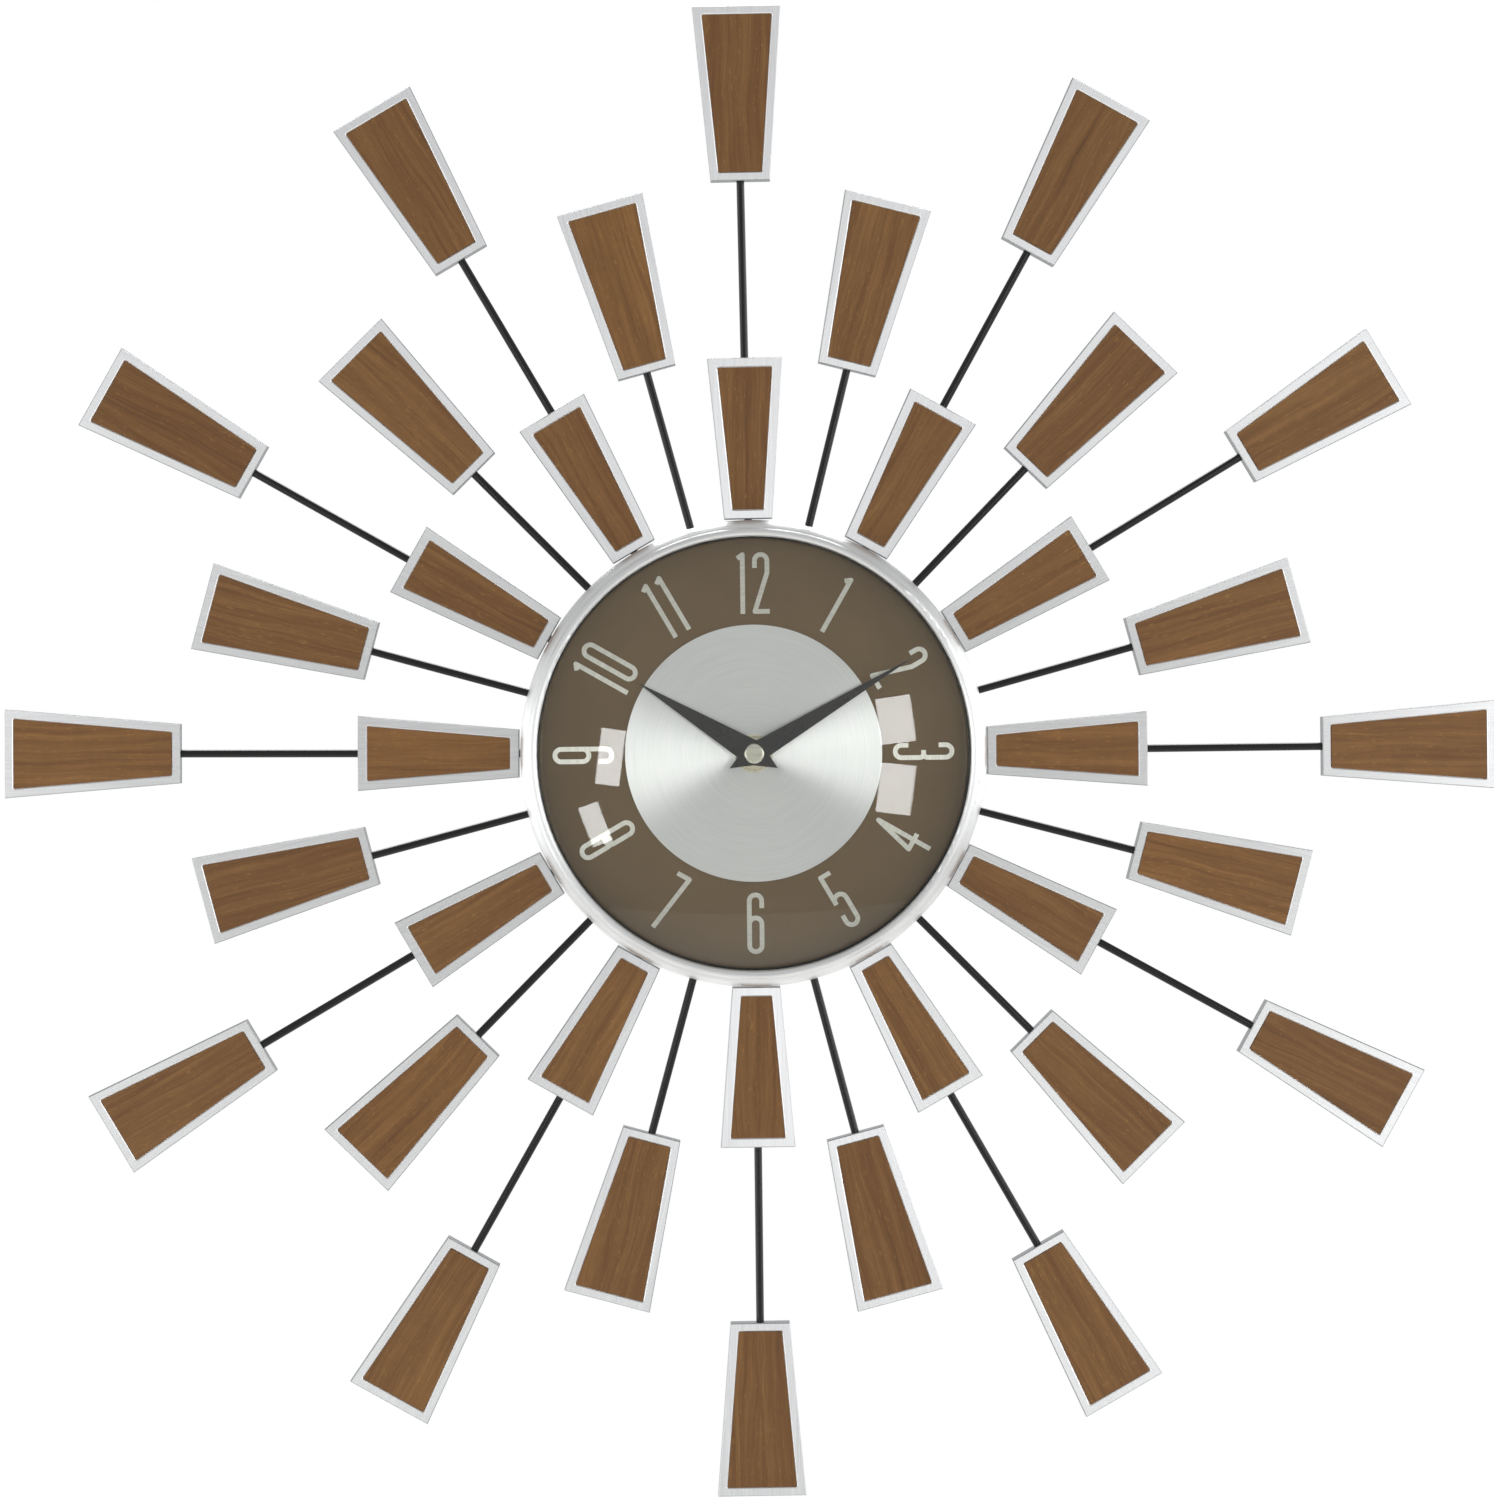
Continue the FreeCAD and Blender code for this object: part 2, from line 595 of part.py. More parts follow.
def hub():
    return {
        "rear_drum": rear_drum(),
        "rear_clamp_ring": rear_clamp_ring(),
        "case_ring": case_ring(),
        "clamp_screws": clamp_screws(),
        "hanger_plate": hanger_plate(),
        "hanger_rivets": hanger_rivets(),
        "dial_plate": tube(DIAL_BORE, DIAL_RADIUS, DIAL_BACK, DIAL_FRONT),
        "centre_disc": tube(DIAL_BORE, DISC_RADIUS, DIAL_FRONT, DISC_FRONT),
        "hour_numerals": numerals(),
        "lens_gasket": lens_gasket(),
        "lens": lens(),
        "bezel": bezel(),
    }


# ==== numerals ======================================================================================
# Glyphs are pen strokes on a grid: x to the right and y up from the middle of the digit. A "line" x0,
# y0, x1, y1 has two round ends and a "stub" is a line with a square far end. An "arc" is x, y, radius,
# start, end, in degrees anticlockwise from +x.
PEN = NUMERAL_STROKE / 2
TALL = NUMERAL_HEIGHT / 2 - PEN
WIDE = NUMERAL_WIDTH / 2 - PEN
WAIST = 1.6
HOOK = 2.9


def loop(bottom, top):
    """A closed capsule between two heights of the pen's centre line."""
    return [("line", -WIDE, bottom + WIDE, -WIDE, top - WIDE),
            ("line", WIDE, bottom + WIDE, WIDE, top - WIDE),
            ("arc", 0, top - WIDE, WIDE, 0, 180), ("arc", 0, bottom + WIDE, WIDE, 180, 360)]


def half_turned(strokes):
    """The same strokes turned half round the middle of the digit."""
    made = []
    for kind, *values in strokes:
        if kind == "arc":
            x, y, radius, start, end = values
            made.append((kind, -x, -y, radius, start + 180, end + 180))
        else:
            made.append((kind, *(-value for value in values)))
    return made


def upper_lobe_of_three():
    top = TALL - WIDE
    return [("arc", 0, top, WIDE, 0, 180), ("stub", -WIDE, top, -WIDE, top - HOOK),
            ("line", WIDE, top, WIDE, WAIST), ("arc", WIDE - WAIST, WAIST, WAIST, 270, 360),
            ("stub", WIDE - WAIST, 0, -0.5, 0)]


def lower_lobe_of_three():
    """The upper lobe, mirrored top to bottom."""
    made = []
    for kind, *values in upper_lobe_of_three():
        if kind == "arc":
            x, y, radius, start, end = values
            made.append((kind, x, -y, radius, -end, -start))
        else:
            x0, y0, x1, y1 = values
            made.append((kind, x0, -y0, x1, -y1))
    return made


def glyph(digit):
    top, bottom = TALL, -TALL
    upper, lower = TALL - WIDE, WIDE - TALL
    six = loop(bottom, 2.2) + [
        ("line", -WIDE, lower, -WIDE, upper), ("arc", 0, upper, WIDE, 0, 180),
        ("stub", WIDE, upper, WIDE, upper - HOOK)]
    glyphs = {
        "0": loop(bottom, top),
        "1": [("stub", 0, top, 0, bottom - PEN), ("stub", 0, top, -2.1, top - 1.6)],
        "2": [("arc", 0, upper, WIDE, 0, 180), ("stub", -WIDE, upper, -WIDE, upper - HOOK),
              ("line", WIDE, upper, WIDE, 4.2), ("line", WIDE, 4.2, -WIDE, bottom),
              ("stub", -WIDE, bottom, WIDE + PEN, bottom)],
        "3": upper_lobe_of_three() + lower_lobe_of_three(),
        "4": [("stub", 1.2, top, 1.2, bottom - PEN), ("line", 1.2, top, -3.1, -5.0),
              ("stub", -3.1, -5.0, 4.0, -5.0)],
        "5": [("stub", -WIDE, top, WIDE - 0.6, top), ("stub", -WIDE, top, -WIDE, -1.2),
              ("arc", 0, -0.4, WIDE, 0, 180), ("line", WIDE, -0.4, WIDE, lower),
              ("arc", 0, lower, WIDE, 180, 360), ("stub", -WIDE, lower, -WIDE, lower + HOOK)],
        "6": six,
        "7": [("stub", 2.4, top, -3.2, top), ("stub", 2.4, top, -1.2, bottom - PEN)],
        "8": loop(bottom, PEN) + loop(-PEN, top),
        "9": half_turned(six),
    }
    return glyphs[digit]


def pen_stroke(stroke, shift):
    """The thin solids of one stroke, in the XY plane."""
    kind, *values = stroke
    if kind == "arc":
        x, y, radius, start, end = values
        outer, inner = (Part.makeCylinder(r, NUMERAL_FOIL, Vector(0, 0, 0), Vector(0, 0, 1), end - start)
                        for r in (radius + PEN, radius - PEN))
        bend = outer.cut(inner)
        bend.rotate(Vector(0, 0, 0), Vector(0, 0, 1), start)
        bend.translate(Vector(x + shift, y, 0))
        return [bend]
    x0, y0, x1, y1 = values
    run = Vector(x1 - x0, y1 - y0, 0)
    bar = Part.makeBox(run.Length, NUMERAL_STROKE, NUMERAL_FOIL, Vector(0, -PEN, 0))
    bar.rotate(Vector(0, 0, 0), Vector(0, 0, 1), math.degrees(math.atan2(run.y, run.x)))
    bar.translate(Vector(x0 + shift, y0, 0))
    round_ends = [(x0, y0)] if kind == "stub" else [(x0, y0), (x1, y1)]
    return [bar] + [Part.makeCylinder(PEN, NUMERAL_FOIL, Vector(x + shift, y, 0)) for x, y in round_ends]


def numeral(hour):
    """A foil numeral, upright to the reader: its head points outwards, or inwards on the lower hours."""
    digits = str(hour)
    spacing = DIGIT_SPACING_OF_ONES if digits == "11" else DIGIT_SPACING
    pieces = []
    for place, digit in enumerate(digits):
        shift = (place - (len(digits) - 1) / 2) * spacing
        solids = [solid for stroke in glyph(digit) for solid in pen_stroke(stroke, shift)]
        pieces.append(joined(solids))
    made = []
    for piece in pieces:
        piece.rotate(Vector(0, 0, 0), Vector(1, 0, 0), 90)
        piece.rotate(Vector(0, 0, 0), HAND_AXIS, 180 if hour in HOURS_WITH_HEAD_INWARDS else 0)
        piece.translate(at(0, DIAL_FRONT, NUMERAL_CENTRE_RADIUS))
        made.append(swung(piece, hour * DEGREES_PER_HOUR))
    return made


def numerals():
    return Part.makeCompound([piece for hour in range(1, 13) for piece in numeral(hour)])


# ==== movement ======================================================================================
def gear_outline(teeth, module, phase):
    """Tooth outline as (x, z) points: radial flanks below the pitch circle, rounded tips above it."""
    addendum = (PINION_ADDENDUM if teeth <= MOST_PINION_LEAVES else WHEEL_ADDENDUM) * module
    pitch = teeth * module / 2
    half_thickness = TOOTH_HALF_THICKNESS * 360 / teeth
    sections = ((pitch - DEDENDUM * module, 1.0), (pitch, 1.0), (pitch + 0.55 * addendum, 0.74),
                (pitch + addendum, 0.34))
    points = []
    for tooth in range(teeth):
        middle = phase + tooth * 360 / teeth
        points += [polar(radius, middle - half_thickness * share) for radius, share in sections]
        points += [polar(radius, middle + half_thickness * share) for radius, share in reversed(sections)]
    return points


def gear(teeth, module, phase, back, width, x=0.0, z=0.0):
    wheel = plate(gear_outline(teeth, module, phase), back, back + width)
    wheel.translate(Vector(x, 0, z))
    return wheel


def meshing_phase(direction, teeth, driver_teeth=1, driver_offset=0.0):
    """Phase that puts a gap of a wheel opposite its driver, which lies back along direction."""
    return direction + 180 + 180 / teeth + driver_offset * driver_teeth / teeth


def centre_distance(teeth, other_teeth, module):
    return (teeth + other_teeth) * module / 2


THIRD_AXIS = polar(THIRD_DISTANCE, THIRD_DIRECTION)
INTERMEDIATE_AXIS = polar(centre_distance(INTERMEDIATE_LEAVES, SECONDS_TEETH, SECONDS_MODULE),
                          INTERMEDIATE_DIRECTION)
MINUTE_AXIS = polar(centre_distance(CANNON_LEAVES, MINUTE_TEETH, MOTION_MODULE), MINUTE_DIRECTION)


def stepped(axis, distance, direction):
    dx, dz = polar(distance, direction)
    return axis[0] + dx, axis[1] + dz


ROTOR_AXIS = stepped(INTERMEDIATE_AXIS, centre_distance(ROTOR_TEETH, INTERMEDIATE_TEETH, ROTOR_MODULE),
                     ROTOR_DIRECTION)
SETTING_AXIS = stepped(MINUTE_AXIS, centre_distance(SETTING_LEAVES, MINUTE_TEETH, MOTION_MODULE),
                       SETTING_DIRECTION)


PIVOT_BACK = CHAMBER_BACK - PIVOT_DEPTH + PIVOT_END_SHAKE
PIVOT_FRONT = CHAMBER_FRONT + PIVOT_DEPTH - PIVOT_END_SHAKE


def seconds_wheel():
    wheel = gear(SECONDS_TEETH, SECONDS_MODULE, INTERMEDIATE_DIRECTION, SECONDS_WHEEL_BACK, WHEEL_WIDTH)
    pinion = gear(SECONDS_LEAVES, THIRD_MODULE, THIRD_DIRECTION, THIRD_WHEEL_BACK - PINION_OVERHANG,
                  WHEEL_WIDTH + 2 * PINION_OVERHANG)
    arbor = disc(SECONDS_ARBOR_RADIUS, PIVOT_BACK, MINUTE_HAND_DEPTH)
    return joined([wheel, pinion, arbor])


def intermediate_wheel():
    x, z = INTERMEDIATE_AXIS
    pinion = gear(INTERMEDIATE_LEAVES, SECONDS_MODULE,
                  meshing_phase(INTERMEDIATE_DIRECTION, INTERMEDIATE_LEAVES),
                  SECONDS_WHEEL_BACK - PINION_OVERHANG,
                  INTERMEDIATE_WHEEL_BACK - SECONDS_WHEEL_BACK + 2 * PINION_OVERHANG, x, z)
    wheel = gear(INTERMEDIATE_TEETH, ROTOR_MODULE, ROTOR_DIRECTION, INTERMEDIATE_WHEEL_BACK,
                 WHEEL_WIDTH, x, z)
    bore = disc(INTERMEDIATE_STUD_RADIUS + SHAFT_GAP, MOVEMENT_BACK, CHAMBER_FRONT, x, z)
    return joined([wheel, pinion]).cut(bore)


def rotor():
    """The rotor's plastic axle with its pinion, and the two-pole magnet pressed on it."""
    x, z = ROTOR_AXIS
    pinion = gear(ROTOR_TEETH, ROTOR_MODULE, meshing_phase(ROTOR_DIRECTION, ROTOR_TEETH),
                  INTERMEDIATE_WHEEL_BACK - PINION_OVERHANG, WHEEL_WIDTH + 2 * PINION_OVERHANG, x, z)
    axle = joined([pinion, disc(ARBOR_RADIUS, PIVOT_BACK, PIVOT_FRONT, x, z)])
    magnet_front = ROTOR_MAGNET_BACK + ROTOR_MAGNET_LENGTH
    return axle, tube(ARBOR_RADIUS, ROTOR_MAGNET_RADIUS, ROTOR_MAGNET_BACK, magnet_front, x, z)


def third_wheel():
    x, z = THIRD_AXIS
    wheel = gear(THIRD_TEETH, THIRD_MODULE, meshing_phase(THIRD_DIRECTION, THIRD_TEETH), THIRD_WHEEL_BACK,
                 WHEEL_WIDTH, x, z)
    pinion_back = THIRD_WHEEL_BACK + WHEEL_WIDTH
    pinion_length = CENTRE_WHEEL_BACK + WHEEL_WIDTH + PINION_OVERHANG - pinion_back
    pinion = gear(THIRD_LEAVES, CENTRE_MODULE, meshing_phase(THIRD_DIRECTION, THIRD_LEAVES),
                  pinion_back, pinion_length, x, z)
    return joined([wheel, pinion, disc(ARBOR_RADIUS, PIVOT_BACK, PIVOT_FRONT, x, z)])


def centre_wheel():
    """The wheel that slips on the minute arbor when the hands are set."""
    wheel = gear(CENTRE_TEETH, CENTRE_MODULE, THIRD_DIRECTION, CENTRE_WHEEL_BACK, WHEEL_WIDTH)
    front = CENTRE_WHEEL_BACK + WHEEL_WIDTH
    return wheel.cut(disc(MINUTE_TUBE_RADIUS + SHAFT_GAP / 2, CENTRE_WHEEL_BACK, front))


def minute_arbor():
    """The minute tube with its cannon pinion and the shoulders of the slipping clutch."""
    back = CENTRE_WHEEL_BACK - CLUTCH_SHOULDER
    front = MINUTE_HAND_DEPTH + HAND_SHEET + MINUTE_THREAD_LENGTH
    pinion = gear(CANNON_LEAVES, MOTION_MODULE, MINUTE_DIRECTION, MINUTE_WHEEL_BACK - PINION_OVERHANG,
                  WHEEL_WIDTH + 2 * PINION_OVERHANG)
    shoulder_back = CENTRE_WHEEL_BACK + WHEEL_WIDTH + CLUTCH_GAP
    shoulder = disc(MINUTE_TUBE_RADIUS + CLUTCH_SHOULDER_WALL, shoulder_back, shoulder_back + CLUTCH_SHOULDER)
    clip = disc(MINUTE_TUBE_RADIUS + CLUTCH_CLIP_WALL, back, CENTRE_WHEEL_BACK - CLUTCH_GAP)
    arbor = joined([disc(MINUTE_TUBE_RADIUS, back, front), pinion, shoulder, clip])
    return arbor.cut(disc(SECONDS_ARBOR_RADIUS + SHAFT_GAP, back - THROUGH, front + THROUGH))


def minute_wheel():
    x, z = MINUTE_AXIS
    wheel = gear(MINUTE_TEETH, MOTION_MODULE, meshing_phase(MINUTE_DIRECTION, MINUTE_TEETH),
                 MINUTE_WHEEL_BACK, WHEEL_WIDTH, x, z)
    pinion = gear(MINUTE_LEAVES, MOTION_MODULE, MINUTE_DIRECTION + 180, MINUTE_WHEEL_BACK + WHEEL_WIDTH,
                  HOUR_WHEEL_BACK - MINUTE_WHEEL_BACK + PINION_OVERHANG, x, z)
    bore = disc(MINUTE_STUD_RADIUS + SHAFT_GAP, MOVEMENT_BACK, CHAMBER_FRONT, x, z)
    return joined([wheel, pinion]).cut(bore)


def hour_wheel():
    wheel = gear(HOUR_TEETH, MOTION_MODULE, MINUTE_DIRECTION + 180 / HOUR_TEETH, HOUR_WHEEL_BACK, WHEEL_WIDTH)
    pipe = disc(HOUR_TUBE_RADIUS, HOUR_WHEEL_BACK, HOUR_HAND_DEPTH + HAND_SHEET + HAND_COLLET)
    collar = disc(HOUR_TUBE_RADIUS + HOUR_COLLAR_WALL, HOUR_WHEEL_BACK, CHAMBER_FRONT - HOUR_COLLAR_END_SHAKE)
    bore = disc(MINUTE_TUBE_RADIUS + SHAFT_GAP, HOUR_WHEEL_BACK - THROUGH, MINUTE_HAND_DEPTH + THROUGH)
    return joined([wheel, pipe, collar]).cut(bore)


def setting_knob():
    """The fluted knob at the back that turns the hands through its own pinion."""
    x, z = SETTING_AXIS
    tooth_pitch = 360 / MINUTE_TEETH
    wheel_phase = meshing_phase(MINUTE_DIRECTION, MINUTE_TEETH)
    offset = (SETTING_DIRECTION - wheel_phase) % tooth_pitch
    pinion = gear(SETTING_LEAVES, MOTION_MODULE,
                  meshing_phase(SETTING_DIRECTION, SETTING_LEAVES, MINUTE_TEETH, offset),
                  MINUTE_WHEEL_BACK - PINION_OVERHANG, WHEEL_WIDTH + 2 * PINION_OVERHANG, x, z)
    knob = disc(KNOB_RADIUS, KNOB_BACK, KNOB_BACK + KNOB_THICKNESS, x, z)
    flutes = []
    for k in range(KNOB_FLUTES):
        fx, fz = stepped((x, z), KNOB_RADIUS + FLUTE_OUTSET, k * 360 / KNOB_FLUTES)
        flutes.append(disc(FLUTE_RADIUS, KNOB_BACK - THROUGH, KNOB_BACK + KNOB_THICKNESS + THROUGH, fx, fz))
    shaft = disc(KNOB_SHAFT_RADIUS, KNOB_BACK + KNOB_THICKNESS / 2, HOUR_WHEEL_BACK, x, z)
    pivot = disc(ARBOR_RADIUS, MINUTE_WHEEL_BACK, PIVOT_FRONT, x, z)
    return joined([knob.cut(flutes), shaft, pinion, pivot])


def battery():
    """A plain AA cell that lies along X with its positive nub at the right."""
    along = Vector(1, 0, 0)
    left = at(-(BATTERY_LENGTH + BATTERY_NUB) / 2, BATTERY_DEPTH, BATTERY_Z)
    cell = Part.makeCylinder(BATTERY_RADIUS, BATTERY_LENGTH, left, along)
    cell = cell.makeFillet(BATTERY_ROUND, round_edges(cell))
    nub = Part.makeCylinder(BATTERY_NUB_RADIUS, BATTERY_NUB, left + along * BATTERY_LENGTH, along)
    return cell.fuse(nub).removeSplitter()


def contact(side):
    """A sprung strip beside one end of the cell: a flat back on the bay's wall and a bowed finger."""
    wall_x = MOVEMENT_HALF - MOVEMENT_WALL - CONTACT_WALL_GAP
    sheet_x = wall_x - CONTACT_SHEET
    tip_x = (BATTERY_LENGTH + BATTERY_NUB) / 2 + CONTACT_CELL_GAP
    low, high = BATTERY_Z - CONTACT_HALF_HEIGHT, BATTERY_Z + CONTACT_HALF_HEIGHT
    tip_low, tip_high = BATTERY_Z - FINGER_TIP_HALF_HEIGHT, BATTERY_Z + FINGER_TIP_HALF_HEIGHT
    flat = [(wall_x, low), (sheet_x, low), (sheet_x, high), (wall_x, high)]
    bow = [(sheet_x, low), (tip_x, tip_low), (tip_x, tip_high), (sheet_x, high),
           (sheet_x, high - FINGER_ROOT), (tip_x + CONTACT_SHEET, tip_high - CONTACT_SHEET),
           (tip_x + CONTACT_SHEET, tip_low + CONTACT_SHEET), (sheet_x, low + FINGER_ROOT)]
    strips = [plate([(side * x, z) for x, z in outline], BATTERY_DEPTH - half, BATTERY_DEPTH + half)
              for outline, half in ((flat, CONTACT_HALF_DEPTH), (bow, FINGER_HALF_DEPTH))]
    return joined(strips)


def movement_front_case():
    """The movement's body: gear chamber, open battery bay and the threaded bush that holds the dial."""
    half, inside = MOVEMENT_HALF, MOVEMENT_HALF - MOVEMENT_WALL
    body = block(-half, half, MOVEMENT_BACK, MOVEMENT_FRONT, -half, half)
    body = body.makeFillet(MOVEMENT_CORNER, edges_front_to_back(body))
    chamber = block(-inside, inside, MOVEMENT_BACK - THROUGH, CHAMBER_FRONT, BAY_TOP + MOVEMENT_WALL, inside)
    bay = block(-inside, inside, MOVEMENT_BACK - THROUGH, CHAMBER_FRONT, -inside, BAY_TOP)
    body = body.cut([chamber, bay])
    body = body.fuse(disc(BUSH_RADIUS, CHAMBER_FRONT, BUSH_FRONT)).removeSplitter()
    holes = [disc(HOUR_TUBE_RADIUS + SHAFT_GAP, CHAMBER_FRONT - THROUGH, BUSH_FRONT + THROUGH)]
    holes += [disc(ARBOR_RADIUS + PIVOT_GAP, CHAMBER_FRONT - THROUGH, CHAMBER_FRONT + PIVOT_DEPTH, x, z)
              for x, z in (THIRD_AXIS, ROTOR_AXIS, SETTING_AXIS)]
    stud = disc(MINUTE_STUD_RADIUS, MINUTE_WHEEL_BACK - STUD_END, CHAMBER_FRONT + STUD_ROOT, *MINUTE_AXIS)
    return body.cut(holes).fuse(stud).removeSplitter()


def movement_rear_cover():
    """The lid of the gear chamber. Its rim fits inside the chamber's walls."""
    edge = MOVEMENT_HALF - MOVEMENT_WALL - COVER_GAP
    bottom = BAY_TOP + MOVEMENT_WALL + COVER_GAP
    rim_front = CHAMBER_BACK + COVER_RIM
    inside = edge - COVER_RIM_WALL
    cover = block(-edge, edge, MOVEMENT_BACK, rim_front, bottom, edge)
    rim_bottom = bottom + COVER_RIM_WALL
    cover = cover.cut(block(-inside, inside, CHAMBER_BACK, rim_front + THROUGH, rim_bottom, inside))
    holes = [disc(radius + PIVOT_GAP, CHAMBER_BACK - PIVOT_DEPTH, CHAMBER_BACK + THROUGH, x, z)
             for radius, (x, z) in ((ARBOR_RADIUS, THIRD_AXIS), (ARBOR_RADIUS, ROTOR_AXIS),
                                    (SECONDS_ARBOR_RADIUS, (0, 0)))]
    knob_hole = KNOB_SHAFT_RADIUS + SHAFT_GAP
    holes.append(disc(knob_hole, MOVEMENT_BACK - THROUGH, rim_front + THROUGH, *SETTING_AXIS))
    stud_front = INTERMEDIATE_WHEEL_BACK + WHEEL_WIDTH + STUD_END
    stud = disc(INTERMEDIATE_STUD_RADIUS, CHAMBER_BACK - STUD_ROOT, stud_front, *INTERMEDIATE_AXIS)
    return cover.cut(holes).fuse(stud).removeSplitter()


def stator():
    """Two flat pole pieces: a plate round the rotor, and arms that reach the ends of the coil core."""
    x, z = ROTOR_AXIS
    back = ROTOR_MAGNET_BACK + (ROTOR_MAGNET_LENGTH - STATOR_THICKNESS) / 2
    front = back + STATOR_THICKNESS
    reach = COIL_HALF_LENGTH + STATOR_OVERREACH
    bar, arm = STATOR_BAR_HALF_WIDTH, STATOR_ARM_HALF_WIDTH
    solids = [disc(ROTOR_MAGNET_RADIUS + STATOR_GAP + STATOR_EYE, back, front, x, z),
              block(x - reach, x + reach, back, front, z - bar, z + bar),
              block(x - reach, x + reach, back, front, COIL_Z - COIL_CORE, COIL_Z + COIL_CORE)]
    solids += [block(end - arm, end + arm, back, front, z - bar, COIL_Z + COIL_CORE)
               for end in (x - reach, x + reach)]
    return joined(solids).cut(disc(ROTOR_MAGNET_RADIUS + STATOR_GAP, back - THROUGH, front + THROUGH, x, z))


def coil():
    """The bobbin on the stator's core, and its winding."""
    x = ROTOR_AXIS[0]
    depth = ROTOR_MAGNET_BACK + ROTOR_MAGNET_LENGTH / 2

    def reel(radius, start, end):
        return Part.makeCylinder(radius, end - start, at(start, depth, COIL_Z), Vector(1, 0, 0))

    left, right = x - COIL_HALF_LENGTH, x + COIL_HALF_LENGTH
    spool_radius = COIL_CORE + BOBBIN_WALL
    bobbin = joined([reel(spool_radius, left, right), reel(COIL_RADIUS, left, left + BOBBIN_WALL),
                     reel(COIL_RADIUS, right - BOBBIN_WALL, right)])
    slot_half_depth = STATOR_THICKNESS / 2 + BOBBIN_GAP
    slot_half_height = COIL_CORE + BOBBIN_GAP
    slot = block(left - THROUGH, right + THROUGH, depth - slot_half_depth, depth + slot_half_depth,
                 COIL_Z - slot_half_height, COIL_Z + slot_half_height)
    winding_end = COIL_HALF_LENGTH - BOBBIN_WALL - BOBBIN_GAP
    winding = reel(COIL_RADIUS - WINDING_INSET, x - winding_end, x + winding_end)
    return bobbin.cut(slot), winding.cut(reel(spool_radius + WINDING_GAP, left, right))


def electronics():
    """The circuit board, with the chip under its blob of resin and the crystal can beside it."""
    board = block(BOARD_LEFT, BOARD_RIGHT, BOARD_BACK, BOARD_BACK + BOARD_THICKNESS, BOARD_BOTTOM, BOARD_TOP)
    chip_back = BOARD_BACK - CHIP_HEIGHT
    chip = disc(CHIP_RADIUS, chip_back, BOARD_BACK, CHIP_X, CHIP_Z)
    chip = chip.makeFillet(CHIP_ROUND, edges_at(chip, chip_back))
    crystal_depth = BOARD_BACK - CRYSTAL_RADIUS - CRYSTAL_GAP
    crystal = Part.makeCylinder(CRYSTAL_RADIUS, CRYSTAL_LENGTH, at(CRYSTAL_X, crystal_depth, CRYSTAL_BOTTOM),
                                Vector(0, 0, 1))
    crystal = crystal.makeFillet(CRYSTAL_ROUND, round_edges(crystal))
    return {"circuit_board": board, "driver_chip": chip, "quartz_crystal": crystal}


def movement():
    rotor_axle, rotor_magnet = rotor()
    bobbin, winding = coil()
    return {
        "movement_front_case": movement_front_case(),
        "movement_rear_cover": movement_rear_cover(),
        "battery": battery(),
        "positive_contact": contact(1),
        "negative_contact": contact(-1),
        "rotor_axle": rotor_axle,
        "rotor_magnet": rotor_magnet,
        "stator": stator(),
        "coil_bobbin": bobbin,
        "coil_winding": winding,
        "intermediate_wheel": intermediate_wheel(),
        "seconds_wheel": seconds_wheel(),
        "third_wheel": third_wheel(),
        "centre_wheel": centre_wheel(),
        "minute_arbor": minute_arbor(),
        "minute_wheel": minute_wheel(),
        "hour_wheel": hour_wheel(),
        "setting_knob": setting_knob(),
        **electronics(),
    }


# ==== hands and fixings =============================================================================
def hand(shape, depth, bore):
    """A flat kite-shaped hand with a collet behind it."""
    outline = [(0, shape["tip"]), (shape["half_width"], shape["widest"]), (0, -shape["tail"]),
               (-shape["half_width"], shape["widest"])]
    blade = plate(outline, depth, depth + HAND_SHEET)
    collet = disc(bore + HAND_COLLET_WALL, depth - HAND_COLLET, depth)
    bore_cutter = disc(bore, depth - HAND_COLLET - THROUGH, depth + HAND_SHEET + THROUGH)
    made = joined([blade, collet]).cut(bore_cutter)
    return swung(made, shape["angle"])


def hand_cap_nut():
    back = MINUTE_HAND_DEPTH + HAND_SHEET
    front = back + CAP_THICKNESS
    cap = disc(CAP_RADIUS, back, front)
    cap = cap.makeFillet(CAP_ROUND, edges_at(cap, front))
    return cap.cut(disc(MINUTE_TUBE_RADIUS + THREAD_GAP, back - THROUGH, back + CAP_THREAD_DEPTH))


def fixing_nut():
    back = DISC_FRONT + BRASS_WASHER
    front = back + NUT_THICKNESS
    nut = disc(NUT_RADIUS, back, front)
    nut = nut.makeChamfer(NUT_CHAMFER, edges_at(nut, front))
    return nut.cut(disc(BUSH_RADIUS + THREAD_GAP, back - THROUGH, front + THROUGH))


def hands_and_fixings():
    washer_bore = BUSH_RADIUS + WASHER_BORE_GAP
    return {
        "hour_hand": hand(HOUR_HAND, HOUR_HAND_DEPTH, HOUR_TUBE_RADIUS + HAND_FIT_GAP),
        "minute_hand": hand(MINUTE_HAND, MINUTE_HAND_DEPTH, MINUTE_TUBE_RADIUS + HAND_FIT_GAP),
        "hand_cap_nut": hand_cap_nut(),
        "rubber_washer": tube(washer_bore, RUBBER_WASHER_RADIUS, MOVEMENT_FRONT, DIAL_BACK),
        "brass_washer": tube(washer_bore, BRASS_WASHER_RADIUS, DISC_FRONT, DISC_FRONT + BRASS_WASHER),
        "fixing_nut": fixing_nut(),
    }


def main():
    os.makedirs("parts", exist_ok=True)
    nodes = {**sunburst(), **hub(), **movement(), **hands_and_fixings()}
    for name, shape in nodes.items():
        if not shape.isValid() or shape.Volume <= 0:
            raise ValueError(f"{name} is not a valid solid")
        shape.exportStep(f"parts/{name}.step")
    print(len(nodes), "nodes,", sum(len(shape.Solids) for shape in nodes.values()), "solids")


main()
